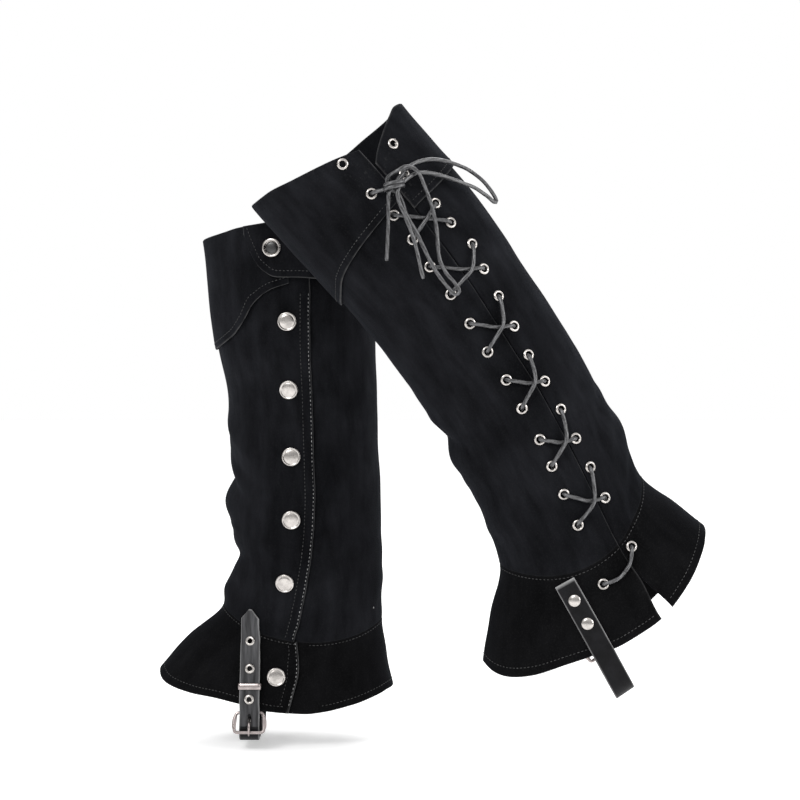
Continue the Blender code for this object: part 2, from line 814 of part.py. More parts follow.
def strap(cover, collection, cutters):
    half = STRAP_WIDTH / 2
    turn_at = STRAP_TURN - cover.strap_drop
    stations = [(*billet_point(cover, tip.height), tip.half_width) for tip in STRAP_TIP]
    for height in BILLET_HEIGHTS:
        if height > turn_at + 2:
            stations.append((*billet_point(cover, height), half))
    stations += strap_turn(cover, -1, billet_point(cover, turn_at)[0].y)
    outer_y = strap_point(cover, turn_at, 1, STRAP_LIFT)[0].y
    stations += strap_turn(cover, 1, outer_y)[::-1]
    for height in OUTER_HEIGHTS:
        if height > turn_at + 2:
            stations.append((*strap_point(cover, height, 1, STRAP_LIFT), half))
    belt = ribbon(cover, "_strap", stations, STRAP_THICK, collection)
    holes = [(height, STRAP_HOLE) for height in STRAP_HOLES] + [(PRONG_SLOT_AT, PRONG_SLOT)]
    matrices = []
    for height, length in holes:
        frame = flat_frame(cover, *billet_point(cover, height, STRAP_THICK / 2))
        matrices.append(frame @ Matrix.Diagonal((STRAP_HOLE / 2, length / 2, 1, 1)))
    cut_holes(belt, matrices, cutters)


def flat_frame(cover, centre, outward):
    """Placement at a point of the strap: Z points outward, X along the foot."""
    origin = place(cover, centre)
    out = (place(cover, centre + outward) - origin).normalized()
    side = (place(cover, centre + Vector((1, 0, 0))) - origin).normalized()
    side = (side - out * side.dot(out)).normalized()
    return Matrix.Translation(origin) @ Matrix((side, out.cross(side), out)).transposed().to_4x4()


def chape(cover, collection):
    """Short strap: down from the spat, over the heel bar and round behind it."""
    half = CHAPE_WIDTH / 2
    stations = []
    for station in CHAPE:
        stations.append((*strap_point(cover, station.height, -1, WALL + LAYER + station.lift), half))
    centre, outward = strap_point(cover, HEEL_BAR, -1, WALL + LAYER + HEEL_BAR_CENTRE)
    reach = BUCKLE_WIRE / 2 + SEAM
    for k in range(1, CHAPE_LOOP_STEPS + 1):
        bend = math.radians(180 * k / CHAPE_LOOP_STEPS)
        spoke = outward * math.cos(bend) - Vector((0, 0, 1)) * math.sin(bend)
        stations.append((centre + spoke * reach, spoke, half))
    ribbon(cover, "_chape", stations, CHAPE_THICK, collection)


def tube(cover, name, points, diameter, material, collection, cyclic=False):
    """Round wire or cord on a poly line through points of the cover's frame."""
    curve = bpy.data.curves.new(name, "CURVE")
    curve.dimensions = "3D"
    curve.bevel_depth = diameter / 2 * MM
    curve.bevel_resolution = 2
    curve.use_fill_caps = True
    spline = curve.splines.new("POLY")
    spline.points.add(len(points) - 1)
    for target, point in zip(spline.points, points):
        target.co = (*place(cover, point), 1)
    spline.use_cyclic_u = cyclic
    spline.use_smooth = True
    add_object(cover.name + name, curve, material, collection)


def buckle(cover, collection):
    """Frame of round wire, its lower bar standing out over the strap, and the prong across it."""
    heel, _ = strap_point(cover, HEEL_BAR, -1, WALL + LAYER + HEEL_BAR_CENTRE)
    lower, _ = strap_point(cover, LOWER_BAR, -1, WALL + LAYER + LOWER_BAR_CENTRE)
    to_side = Vector((FRAME_HALF_WIDTH, 0, 0))
    to_lower_side = Vector((FRAME_HALF_WIDTH + FRAME_FLARE, 0, 0))
    corners = (heel - to_side, heel + to_side, lower + to_lower_side, lower - to_lower_side)
    points = []
    for k, corner in enumerate(corners):
        to_before = (corners[k - 1] - corner).normalized() * FRAME_CORNER
        to_after = (corners[(k + 1) % 4] - corner).normalized() * FRAME_CORNER
        points += [corner + to_before, corner + (to_before + to_after) * CORNER_CUT, corner + to_after]
    tube(cover, "_buckle_frame", points, BUCKLE_WIRE, NICKEL, collection, True)
    prong = [strap_point(cover, station.height, -1, WALL + LAYER + station.lift)[0] for station in PRONG]
    tube(cover, "_buckle_prong", prong, PRONG_WIRE, NICKEL, collection)


def keeper(cover, collection):
    """Flat metal loop round the short strap and the long one."""
    side = STRAP_WIDTH / 2 + KEEPER_CLEAR
    third = side / 3
    bottom = 0.5 + KEEPER_WALL
    top = station_lift(BILLET, KEEPER_AT) - WALL - LAYER + STRAP_THICK + KEEPER_CLEAR
    middle = (bottom + top) / 2
    outline = (
        (-side, bottom), (-third, bottom), (third, bottom), (side, bottom), (side, middle),
        (side, top), (third, top), (-third, top), (-side, top), (-side, middle))
    walls = []
    for grow in (0, KEEPER_WALL):
        grid = []
        for end in (-0.5, 0.5):
            centre, outward = strap_point(cover, KEEPER_AT + end * KEEPER_HEIGHT, -1, WALL + LAYER)
            across = (Vector((1, 0, 0)) - outward * outward.x).normalized()
            loop = []
            for a, h in outline:
                wider = a + math.copysign(grow, a) * (abs(a) > third)
                taller = h + grow * (h > middle) - grow * (h < middle)
                loop.append(centre + across * wider + outward * taller)
            grid.append(loop)
        walls.append(grid)
    shell(cover, cover.name + "_keeper", walls[0], walls[1], NICKEL, collection, True)


def rivets(cover, collection):
    radius = RIVET / 2
    shoulder = (radius * RIVET_SHOULDER_SHARE, RIVET_SHOULDER)
    profile = ((0, RIVET_MIDDLE), shoulder, (radius, RIVET_EDGE), (radius, 0), (0, 0))
    for number, height in enumerate(RIVETS, 1):
        centre, outward = strap_point(cover, height, 1, STRAP_LIFT + STRAP_THICK + RIVET_CLEAR)
        matrix = flat_frame(cover, centre, outward)
        turned(f"{cover.name}_rivet_{number}", profile, matrix, RIVET_SIDES, NICKEL, collection)


def through(cover, row, column, toward, outside):
    """Two points of the lace at an eyelet: inside the cloth and outside it."""
    angle, down = eyelet_place(cover, row, column)
    base = wall_lift(row, angle, down)
    under = base - LACE_CLEAR - LACE / 2
    target_angle, target_down = toward
    speed = around_speed(cover, angle, down)
    step = Vector(((target_angle - angle) * speed, target_down - down))
    step = step.normalized() * LACE_SLANT
    outer_point = lay(cover, angle + step.x / speed, down + step.y, base + LACE_OVER)
    inner_point = lay(cover, angle, down + outside * LACE_SLANT, under)
    return inner_point, outer_point


def lace_route(cover, first_column, bow):
    """From the bottom crossing up through the eyelets, then the knot, the loop and the free end."""
    own = eyelet_place(cover, SPAT_EYELET, first_column)
    other = eyelet_place(cover, SPAT_EYELET, -first_column)
    over = LACE_OVER
    centre = ((own[0] + other[0]) / 2, (own[1] + other[1]) / 2 + CROSSING_SAG)
    start_angle = stepped(cover, centre[0], centre[1], first_column * LACE_HALF_GAP)
    points = [lay(cover, start_angle, centre[1], over)]
    quarter = tuple(centre[k] + (own[k] - centre[k]) * FIRST_TURN for k in (0, 1))
    quarter = (quarter[0], quarter[1] + FIRST_TURN_SAG)
    points.append(lay(cover, quarter[0], quarter[1], over))
    inner_point, outer_point = through(cover, SPAT_EYELET, first_column, quarter, -1)
    points += [outer_point, inner_point]
    column = first_column
    for lower_row in range(SPAT_EYELET - 1, 1, -2):
        upper_row = lower_row - 1
        leave = eyelet_place(cover, lower_row, column)
        enter = eyelet_place(cover, upper_row, -column)
        rises = column < 0
        high = over + (LACE_OVER_LACE if rises else 0.0)
        inner_point, outer_point = through(cover, lower_row, column, enter, 1)
        points += [inner_point, outer_point]
        speed = around_speed(cover, leave[0], leave[1])
        heading = Vector(((enter[0] - leave[0]) * speed, enter[1] - leave[1])).normalized()
        for sway in LACE_SWAYS:
            share = sway.share
            aside = sway.rising if rises else sway.crossing
            aside *= lower_row >= SWAYS_FROM_ROW
            angle = leave[0] + (enter[0] - leave[0]) * share + abs(heading.y) * aside * -column / speed
            down = leave[1] + (enter[1] - leave[1]) * share + abs(heading.x) * aside
            lift = high if share == 0.5 else (high + over) / 2 + (0.6 if rises else 0)
            points.append(lay(cover, angle, down, lift))
        inner_point, outer_point = through(cover, upper_row, -column, leave, -1)
        points += [outer_point, inner_point]
        column = -column
    knot_angle = along(SLIT, KNOT_DOWN)
    top_angle, _ = eyelet_place(cover, 1, column)
    points.append(lay(cover, top_angle, LEG_TOP - LACE_UNDER_EDGE, -LACE_CLEAR - LACE / 2))
    inner_point, outer_point = through(cover, 1, column, (knot_angle, KNOT_DOWN), 1)
    points += [inner_point, outer_point]
    turn = math.radians(cover.tilt)
    for step in bow:
        heelward = step.heelward * cover.bow_reach
        across = heelward * math.cos(turn) - step.drop * math.sin(turn)
        down = KNOT_DOWN + heelward * math.sin(turn) + step.drop * math.cos(turn)
        angle = stepped(cover, knot_angle, down, across)
        points.append(lay(cover, angle, down, step.lift + cuff_flare(angle, down)))
    return points


def smooth_points(route, longest):
    """Route with points added, on a smooth curve through it, where two are far apart."""
    points = [route[0]]
    for i in range(len(route) - 1):
        before = route[max(i - 1, 0)]
        start = route[i]
        end = route[i + 1]
        after = route[min(i + 2, len(route) - 1)]
        length = (end - start).length
        pieces = max(1, math.ceil(length / longest))
        start_pull = (end - before).normalized() * length
        end_pull = (after - start).normalized() * length
        for k in range(1, pieces):
            t = k / pieces
            h00 = (1 + 2 * t) * (1 - t) ** 2
            h10 = t * (1 - t) ** 2
            h01 = t * t * (3 - 2 * t)
            h11 = t * t * (t - 1)
            points.append(start * h00 + start_pull * h10 + end * h01 + end_pull * h11)
        points.append(end)
    return points


def laces(cover, collection):
    for name, column, bow in (("a", -1, FRONT_BOW), ("b", 1, BACK_BOW)):
        route = lace_route(cover, column, bow)
        points = smooth_points(route, LACE_POINT_SPACING)
        tube(cover, f"_lace_{name}", points, LACE, LACE_CORD, collection)


def build_cover(cover, collection, cutters):
    leg_span = (leg_top, leg_bottom)
    spat_span = (spat_top, hem)
    leg_front, leg_back = panel_pair(cover, "_leg", PLACKET, leg_span, LEG_STEPS, collection)
    spat_front, spat_back = panel_pair(cover, "_spat", SPAT_PLACKET, spat_span, SPAT_STEPS, collection)
    cuff_front = cuff(cover, "_cuff_front", FRONT_CUFF, FRONT_COLUMNS, front_cuff_lift, collection)
    cuff_back = cuff(cover, "_cuff_back", BACK_CUFF, BACK_CUFF_COLUMNS, back_cuff_lift, collection)
    drill_eyelets(cover, ((cuff_front, leg_front, spat_front), (cuff_back, leg_back, spat_back)), cutters)
    snaps(cover, collection)
    strap(cover, collection, cutters)
    chape(cover, collection)
    buckle(cover, collection)
    keeper(cover, collection)
    rivets(cover, collection)
    laces(cover, collection)


def main():
    for thing in list(bpy.data.objects):
        bpy.data.objects.remove(thing, do_unlink=True)
    parts = new_collection("boot_covers")
    cutters = new_collection("cutters")
    for cover in (STANDING, STEPPING):
        build_cover(cover, parts, cutters)


main()
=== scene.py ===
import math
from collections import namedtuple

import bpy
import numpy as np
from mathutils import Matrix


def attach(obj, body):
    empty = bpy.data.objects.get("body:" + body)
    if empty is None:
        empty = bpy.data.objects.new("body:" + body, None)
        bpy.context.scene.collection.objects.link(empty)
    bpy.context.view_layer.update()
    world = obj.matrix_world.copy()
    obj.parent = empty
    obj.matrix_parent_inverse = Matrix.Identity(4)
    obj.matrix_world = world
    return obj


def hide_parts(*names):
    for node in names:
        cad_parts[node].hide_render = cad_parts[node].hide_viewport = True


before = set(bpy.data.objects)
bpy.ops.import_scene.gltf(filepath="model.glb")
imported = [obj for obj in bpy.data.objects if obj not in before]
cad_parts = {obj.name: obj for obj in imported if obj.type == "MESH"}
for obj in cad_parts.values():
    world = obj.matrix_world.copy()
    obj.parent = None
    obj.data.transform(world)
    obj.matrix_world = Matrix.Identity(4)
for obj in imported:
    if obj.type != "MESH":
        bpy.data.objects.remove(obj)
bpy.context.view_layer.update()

# %% [markdown]
# # A pair of suede boot covers
#
# The real things are two tall gaiters, cut from black suede. A cover goes round the calf and spreads
# over the boot as a spat. It is laced up its outer side, snapped down its inner side, folded over
# into a cuff at the top, and kept down by a strap that passes under the boot and ends in a buckle.
#
# The solids of this object are already packed. They are loaded above and never touched: each piece
# made below stands for one of them, in the same place, with finer cloth, metal and leather.

MM = 0.001

# %% [markdown]
# ## Camera, light and floor
#
# The photograph was taken from about two metres, level with the calves and looking a little down,
# with a long lens, so both covers keep their true proportions. A camera is a lens, a place and a turn.
# The place and the turn were worked out from where the tops and the hems of both covers show.

# %% Camera at the photograph's angle
EYE = (0.10175, -2.07, -0.075)
AIM_DROP = 89
AIM_REACH = 2250
LOOKS_DOWN = math.degrees(math.atan(AIM_DROP / AIM_REACH))
LENS = 101.25
SENSOR = 36.0

camera_data = bpy.data.cameras.new("photo_camera")
camera_data.lens = LENS
camera_data.sensor_width = SENSOR
camera = bpy.data.objects.new("photo_camera", camera_data)
camera.location = EYE
camera.rotation_euler = (math.radians(90 - LOOKS_DOWN), 0, 0)
bpy.context.scene.collection.objects.link(camera)
bpy.context.scene.camera = camera
print(f"camera looks {LOOKS_DOWN:.2f} degrees down")

# %% [markdown]
# Black suede swallows light, so a studio lights it from several sides with big soft lamps: one in
# front and above brings out the nap, and one to the right and one behind draw a faint line along the
# folds.
# Nickel is a mirror, and a mirror in an all-white room looks like plain white paint. So the room that
# lights the scene is bright above and grey at eye level, and only the camera sees it as plain white.

# %% Soft lamps and a pale surround
FLOOR_Z = -0.471
Lamp = namedtuple("Lamp", "name place aim size watts")
LAMPS = (
    Lamp("key", (-1.1, -1.9, 1.5), (0.1, -0.1, -0.15), 1.1, 34),
    Lamp("fill", (1.9, -1.0, 0.5), (0.1, -0.1, -0.2), 1.2, 20),
    Lamp("back", (0.4, 1.6, 1.4), (0.1, 0, -0.1), 1.4, 20),
)
ROOM = ((0.0, 0.50), (0.47, 0.40), (0.53, 0.34), (0.72, 0.75), (1.0, 1.1))


def add_lamp(lamp):
    data = bpy.data.lights.new(lamp.name, "AREA")
    data.shape = "DISK"
    data.size = lamp.size
    data.energy = lamp.watts
    thing = bpy.data.objects.new(lamp.name, data)
    aim = np.array(lamp.aim) - lamp.place
    across = math.atan2(aim[0], aim[1])
    thing.location = lamp.place
    thing.rotation_euler = (math.atan2(math.hypot(aim[0], aim[1]), -aim[2]), 0, -across)
    bpy.context.scene.collection.objects.link(thing)


def pale_room():
    """World that is grey at eye level and bright above, but plain white to the camera."""
    world = bpy.data.worlds.new("pale_studio")
    world.use_nodes = True
    nodes, links = world.node_tree.nodes, world.node_tree.links
    seen = nodes.new("ShaderNodeBackground")
    seen.inputs["Color"].default_value = (1, 1, 1, 1)
    height = nodes.new("ShaderNodeSeparateXYZ")
    links.new(nodes.new("ShaderNodeTexCoord").outputs["Generated"], height.inputs[0])
    span = nodes.new("ShaderNodeMapRange")
    span.inputs["From Min"].default_value = -1
    levels = nodes.new("ShaderNodeValToRGB")
    while len(levels.color_ramp.elements) < len(ROOM):
        levels.color_ramp.elements.new(0.5)
    for element, (at, level) in zip(levels.color_ramp.elements, ROOM):
        element.position = at
        element.color = (level, level, level, 1)
    links.new(height.outputs["Z"], span.inputs["Value"])
    links.new(span.outputs[0], levels.inputs[0])
    links.new(levels.outputs["Color"], nodes["Background"].inputs["Color"])
    choice = nodes.new("ShaderNodeMixShader")
    links.new(nodes.new("ShaderNodeLightPath").outputs["Is Camera Ray"], choice.inputs[0])
    links.new(nodes["Background"].outputs[0], choice.inputs[1])
    links.new(seen.outputs[0], choice.inputs[2])
    links.new(choice.outputs[0], nodes["World Output"].inputs["Surface"])
    return world


for lamp in LAMPS:
    add_lamp(lamp)
bpy.context.scene.world = pale_room()
bpy.context.scene.view_settings.view_transform = "Standard"


def shader_of(material):
    return material.node_tree.nodes["Principled BSDF"]


def plain_material(name, colour, roughness, metallic=0.0):
    material = bpy.data.materials.new(name)
    material.use_nodes = True
    shader = shader_of(material)
    shader.inputs["Base Color"].default_value = (*colour, 1)
    shader.inputs["Roughness"].default_value = roughness
    shader.inputs["Metallic"].default_value = metallic
    return material


def add_mesh(name, points, faces, material):
    """New smooth object at the origin, its points in metres."""
    mesh = bpy.data.meshes.new(name)
    mesh.from_pydata([tuple(point) for point in points], [], [tuple(face) for face in faces])
    mesh.shade_smooth()
    mesh.materials.append(material)
    thing = bpy.data.objects.new(name, mesh)
    bpy.context.scene.collection.objects.link(thing)
    return thing


FLOOR_HALF = 6.0
FLOOR_TONE = (0.85, 0.85, 0.85)
FLOOR_ROUGHNESS = 0.7
FLOOR_GLOW = 0.42
corners = [(x * FLOOR_HALF, y * FLOOR_HALF, FLOOR_Z) for x, y in ((-1, -1), (1, -1), (1, 1), (-1, 1))]
pale_floor = plain_material("pale_floor", FLOOR_TONE, FLOOR_ROUGHNESS)
shader_of(pale_floor).inputs["Emission Color"].default_value = (1, 1, 1, 1)
shader_of(pale_floor).inputs["Emission Strength"].default_value = FLOOR_GLOW
floor = add_mesh("floor", corners, [(0, 1, 2, 3)], pale_floor)
print(len(LAMPS), "lamps and a floor at", FLOOR_Z)

# %% [markdown]
# ## The sleeve that every piece lies on
#
# Each cover is a tube that narrows at the ankle and spreads over the boot. It could be drawn by hand,
# but a rule is better: a short table gives a few rings, from the top edge down, and a smooth curve
# fills in between. A place on the sleeve is then two numbers, an angle around it (0 in front, 90 on
# the outer side, 180 behind, -90 on the inner side) and a distance down, in millimetres. A third
# number, the lift, goes straight out from it. Cloth, stitches, snaps and laces all use those three.

# %% Sizes of the sleeve and its folds
Row = namedtuple("Row", "down front_x front_z back_x back_z half_width dip dip_power square")
Fold = namedtuple("Fold", "angle down height half_length half_width slant")
Wave = namedtuple("Wave", "height turns length phase")
Cover = namedtuple(
    "Cover", "name side centre_y origin_x origin_z tilt rows folds strap_x strap_slope strap_drop bow_reach")

STANDING_ROWS = (
    Row(0, -48.5, 441, 101, 461, 68, -6, 2.0, 2.0),
    Row(100, -38.5, 350, 103.5, 352, 66, 0, 2.0, 2.0),
    Row(165, -27.5, 290, 105, 290, 63, 0, 2.0, 2.0),
    Row(240, -25, 212, 108, 215, 58, 2, 2.0, 2.0),
    Row(310, -23.5, 150, 109.5, 148, 51, 10, 2.0, 2.0),
    Row(365, -33, 106, 109, 94, 46, 23, 1.6, 2.1),
    Row(407, -65, 77, 114, 62, 49, 26, 1.2, 2.3),
    Row(450, -93, 46, 121, 28, 52, 26, 0.9, 2.5),
)
STEPPING_ROWS = (
    Row(0, -32, 466, 111, 466, 68, 3, 2.0, 2.0),
    Row(100, -19, 366, 121, 366, 66, 0, 2.0, 2.0),
    Row(165, -11, 301, 122, 301, 63, 0, 2.0, 2.0),
    Row(240, -10, 226, 121, 226, 58, 4, 2.0, 2.0),
    Row(310, -18, 156, 115, 156, 51, 18, 2.0, 2.0),
    Row(365, -31, 100, 105, 97, 46, 36, 1.6, 2.1),
    Row(407, -62, 69, 116, 62, 49, 40, 1.2, 2.3),
    Row(450, -90, 40, 127, 28, 52, 43, 0.9, 2.5),
)
STANDING_FOLDS = (
    Fold(0, 228, -5, 45, 8, -18),
    Fold(0, 251, 7, 50, 14, -18),
    Fold(0, 308, -6, 40, 11, 12),
    Fold(0, 346, 4, 40, 12, 0),
    Fold(-45, 205, 3, 45, 11, -35),
    Fold(-60, 285, 3, 35, 10, 25),
    Fold(-140, 290, 3, 40, 11, -15),
    Fold(150, 320, 3, 40, 10, 15),
    Fold(60, 262, 3, 45, 11, -20),
)
STEPPING_FOLDS = (
    Fold(0, 252, -3, 45, 9, 15),
    Fold(0, 272, 4, 45, 12, 15),
    Fold(40, 318, 3, 40, 11, -20),
    Fold(150, 300, -3, 40, 10, -25),
    Fold(165, 330, 4, 45, 12, -25),
    Fold(140, 352, -3, 30, 9, -30),
    Fold(150, 120, 3, 30, 45, 0),
    Fold(-50, 240, 3, 45, 11, -30),
    Fold(-150, 300, 3, 40, 11, 20),
)
FOLD_RADIUS = 66.0
HEM_ROW = 450.0

STANDING = Cover("right", 1, 90, -127, 20, 0, STANDING_ROWS, STANDING_FOLDS, -7.2, 0.03, 28, 0.72)
STEPPING = Cover("left", -1, -90, 168.8, 118.5, 34.2, STEPPING_ROWS, STEPPING_FOLDS, -2, 0.10, 37, 1.0)
COVERS = (STANDING, STEPPING)
print("rings a cover:", len(STANDING_ROWS), "folds a cover:", len(STANDING_FOLDS))

# %% [markdown]
# Large folds are in the table above, because the solids have them too. Worn suede also has small
# creases: short soft ridges and hollows where the ankle bends and where the cloth hangs slack below
# the cuff. They are as uneven as cloth is, so they are listed one by one rather than made by a
# repeating pattern. Last, a few long shallow waves keep the calf from looking like a turned pipe.

# %% Creases listed one by one, and slow waves
CREASES = {
    "right": (
        Fold(-18, 188, 1.4, 38, 5, -30),
        Fold(-30, 219, -1.5, 34, 5, -26),
        Fold(-38, 240, 1.5, 32, 5.5, -30),
        Fold(-20, 276, 1.3, 30, 5, -12),
        Fold(-48, 300, -1.3, 26, 5, 22),
        Fold(-30, 326, 1.6, 30, 5, 12),
        Fold(-62, 338, -1.2, 22, 4.5, 8),
        Fold(-84, 352, 1.2, 10, 4, -22),
        Fold(-79, 358, -1.2, 9, 3.5, 14),
        Fold(-92, 357, 1.1, 8, 3, -8),
        Fold(-120, 318, 1.0, 30, 6, -20),
        Fold(-140, 345, -1.2, 34, 6, -12),
        Fold(-55, 150, 1.0, 48, 9, -42),
        Fold(-120, 190, 0.9, 55, 10, 55),
        Fold(40, 210, 1.3, 36, 6, -24),
        Fold(70, 300, -1.3, 30, 6, 18),
        Fold(35, 335, 1.4, 30, 5, -10),
        Fold(150, 350, 1.2, 30, 6, 12),
    ),
    "left": (
        Fold(12, 236, 1.2, 30, 5, 18),
        Fold(22, 262, -1.4, 32, 5, 14),
        Fold(16, 288, 1.5, 34, 5.5, -14),
        Fold(30, 306, -1.5, 30, 5, -18),
        Fold(22, 330, 1.5, 34, 6, -12),
        Fold(48, 345, -1.3, 24, 5, -6),
        Fold(60, 330, 1.2, 30, 6, 24),
        Fold(146, 268, -1.0, 40, 7, -34),
        Fold(152, 312, 1.4, 30, 5.5, -30),
        Fold(138, 336, -1.3, 24, 5, -26),
        Fold(150, 356, 1.2, 24, 5, -22),
        Fold(50, 180, 1.0, 60, 12, 38),
        Fold(150, 170, 1.1, 52, 11, -48),
        Fold(-30, 219, -1.4, 34, 5, -26),
        Fold(-60, 300, 1.3, 28, 6, 18),
        Fold(-110, 330, 1.2, 30, 6, -12),
    ),
}
WAVES = (
    Wave(0.55, 2, 190, 0.4),
    Wave(0.40, 3, 118, 2.1),
    Wave(0.26, 5, 71, 4.0),
    Wave(0.14, 9, 43, 1.2),
)
print({name: len(creases) for name, creases in CREASES.items()}, "creases and", len(WAVES), "waves")

# %% [markdown]
# These helpers work on whole arrays of places at once, which is what makes a fine mesh quick. A curve
# that only passes through its points could swing past them, so `along` sets the slope at each point
# from both of its neighbours and never overshoots.

# %% Points on the sleeve
def along(pairs, at):
    """Value at places of a table of (place, value) pairs, on a smooth curve that never overshoots."""
    places, values = np.array(pairs, float).T
    slopes = np.diff(values) / np.diff(places)
    before = slopes[:-1]
    after = slopes[1:]
    same_way = before * after > 0
    middle = np.where(same_way, 2 * before * after / np.where(same_way, before + after, 1), 0)
    tangents = np.concatenate((slopes[:1], middle, slopes[-1:]))
    at = np.clip(at, places[0], places[-1])
    k = np.clip(np.searchsorted(places, at, "right") - 1, 0, len(slopes) - 1)
    span = places[k + 1] - places[k]
    t = (at - places[k]) / span
    rest = 1 - t
    return (
        (1 + 2 * t) * rest ** 2 * values[k] + t * rest ** 2 * span * tangents[k]
        + t * t * (3 - 2 * t) * values[k + 1] - t * t * rest * span * tangents[k + 1])


def ring(cover, down):
    """All columns of the cover's table at distances down."""
    table = np.array(cover.rows)
    columns = [along(np.stack((table[:, 0], table[:, k]), -1), down) for k in range(1, len(Row._fields))]
    return Row(down, *columns)


def signed_power(value, power):
    return np.copysign(np.abs(value) ** power, value)


def fold_height(cover, angle, down):
    total = np.zeros(np.broadcast(angle, down).shape)
    for fold in (*cover.folds, *CREASES[cover.name]):
        around_mm = np.radians((angle - fold.angle + 180) % 360 - 180) * FOLD_RADIUS
        down_mm = down - fold.down
        cosine = math.cos(math.radians(fold.slant))
        sine = math.sin(math.radians(fold.slant))
        lengthwise = (around_mm * cosine + down_mm * sine) / fold.half_length
        crosswise = (down_mm * cosine - around_mm * sine) / fold.half_width
        total += fold.height * np.exp(-lengthwise ** 2 - crosswise ** 2)
    for wave in WAVES:
        swing = np.sin(np.radians(angle) * wave.turns + wave.phase)
        total += wave.height * swing * np.cos(2 * math.pi * down / wave.length + wave.phase * cover.side)
    return total


def skin(cover, angle, down):
    """Points of the sleeve in the cover's own frame: x to the heel, y to the outer side, z up."""
    angle, down = np.broadcast_arrays(np.asarray(angle, float), np.asarray(down, float))
    row = ring(cover, down)
    cosine = np.cos(np.radians(angle))
    sine = np.sin(np.radians(angle))
    reach = signed_power(cosine, 2 / row.square)
    spread = signed_power(sine, 2 / row.square)
    push = fold_height(cover, angle, down)
    x = (row.front_x + row.back_x) / 2 - ((row.back_x - row.front_x) / 2 + push) * reach
    y = (row.half_width + push) * spread
    middle_z = (row.front_z + row.back_z) / 2
    z = middle_z - (row.back_z - row.front_z) / 2 * reach - row.dip * np.abs(sine) ** row.dip_power
    return np.stack((x, y, z), -1)


def unit(vectors):
    return vectors / np.linalg.norm(vectors, axis=-1, keepdims=True)


NORMAL_STEP = 0.8


def skin_normal(cover, angle, down):
    """Straight out of the sleeve, from the skin a small step to each side."""
    around_step = skin(cover, angle + NORMAL_STEP, down) - skin(cover, angle - NORMAL_STEP, down)
    down_step = skin(cover, angle, down + NORMAL_STEP) - skin(cover, angle, down - NORMAL_STEP)
    normal = unit(np.cross(around_step, down_step))
    row = ring(cover, down)
    point = skin(cover, angle, down)
    from_middle = point[..., 0] - (row.front_x + row.back_x) / 2
    outward = from_middle * normal[..., 0] + point[..., 1] * normal[..., 1]
    return np.where(outward[..., None] < 0, -normal, normal)


def lay(cover, angle, down, lift=0.0):
    """Points lifted straight out of the sleeve."""
    return skin(cover, angle, down) + skin_normal(cover, angle, down) * np.asarray(lift)[..., None]


def around_speed(cover, angle, down):
    """Millimetres around the sleeve in one degree."""
    return np.linalg.norm(skin(cover, angle + 1, down) - skin(cover, angle - 1, down), axis=-1) / 2


def stepped(cover, angle, down, across):
    """Angle reached from another one by going a few millimetres around the sleeve."""
    return angle + across / around_speed(cover, angle, down)


def smooth_step(value):
    value = np.clip(value, 0, 1)
    return value * value * (3 - 2 * value)


def top_centre(cover):
    top = cover.rows[0]
    x = cover.origin_x + (top.front_x + top.back_x) / 2
    return np.array((x, cover.centre_y, cover.origin_z + (top.front_z + top.back_z) / 2))


MOUNT = top_centre(STANDING)


def turned_points(cover, points):
    """Directions or points of the cover's frame, turned by its tilt and mirrored to its side."""
    turn = math.radians(cover.tilt)
    x = points[..., 0] * math.cos(turn) - points[..., 2] * math.sin(turn)
    z = points[..., 0] * math.sin(turn) + points[..., 2] * math.cos(turn)
    return np.stack((x, cover.side * points[..., 1], z), -1)


def place(cover, points):
    """Places in the shared frame, in metres, of points of the cover's own frame."""
    origin = np.array((cover.origin_x, cover.centre_y, cover.origin_z))
    return (turned_points(cover, points) + origin - MOUNT) * MM


top_points = place(STANDING, skin(STANDING, np.arange(0, 361, 5), 0.0))
top_round = np.linalg.norm(np.diff(top_points, axis=0), axis=1).sum()
print(f"the top edge is {top_round / MM:.0f} mm round")

# %% [markdown]
# ## Suede, leather, metal and cord
#
# Suede is the velvety inner side of a hide. Its pile is matte and nearly black, and shows paler strokes
# where a hand has brushed it. Three layers make it: a very dark colour that drifts between two tones
# in long strokes, a fine grain in the bump for the pile, and a thin sheen for the light that fibres
# scatter at a glancing angle. The strokes follow the cloth, so they read the piece's own map, whose
# unit is a decimetre of cloth, and not the room's axes. A cut edge shows the hide's paler core, which
# the mesh marks with an attribute named edge. Over all this lie faint scuffs and a few specks of dust.
# The spats have darker tones of the same suede: painted shade for the dimmer light low on the boot.

# %% Helpers for shader nodes
Noise = namedtuple("Noise", "scale detail roughness")
Fade = namedtuple("Fade", "start low end high")


def add_node(material, kind, **settings):
    node = material.node_tree.nodes.new(kind)
    for setting, value in settings.items():
        setattr(node, setting, value)
    return node


def join(material, source, target):
    material.node_tree.links.new(source, target)


def own_map(material):
    return add_node(material, "ShaderNodeUVMap", uv_map="cloth").outputs["UV"]


def in_room(material):
    return add_node(material, "ShaderNodeTexCoord").outputs["Object"]


def noise(material, vector, kind):
    node = add_node(material, "ShaderNodeTexNoise")
    for label, value in zip(("Scale", "Detail", "Roughness"), kind):
        node.inputs[label].default_value = value
    join(material, vector, node.inputs["Vector"])
    return node.outputs["Fac"]


def stretched(material, vector, scale, turn=0.0):
    node = add_node(material, "ShaderNodeMapping")
    node.inputs["Scale"].default_value = scale
    node.inputs["Rotation"].default_value = (0, 0, math.radians(turn))
    join(material, vector, node.inputs["Vector"])
    return node.outputs["Vector"]


def ramp(material, value, stops):
    """Colours at places from 0 to 1."""
    node = add_node(material, "ShaderNodeValToRGB")
    while len(node.color_ramp.elements) < len(stops):
        node.color_ramp.elements.new(0.5)
    for element, (at, colour) in zip(node.color_ramp.elements, stops):
        element.position = at
        element.color = (*colour, 1)
    join(material, value, node.inputs["Fac"])
    return node.outputs["Color"]


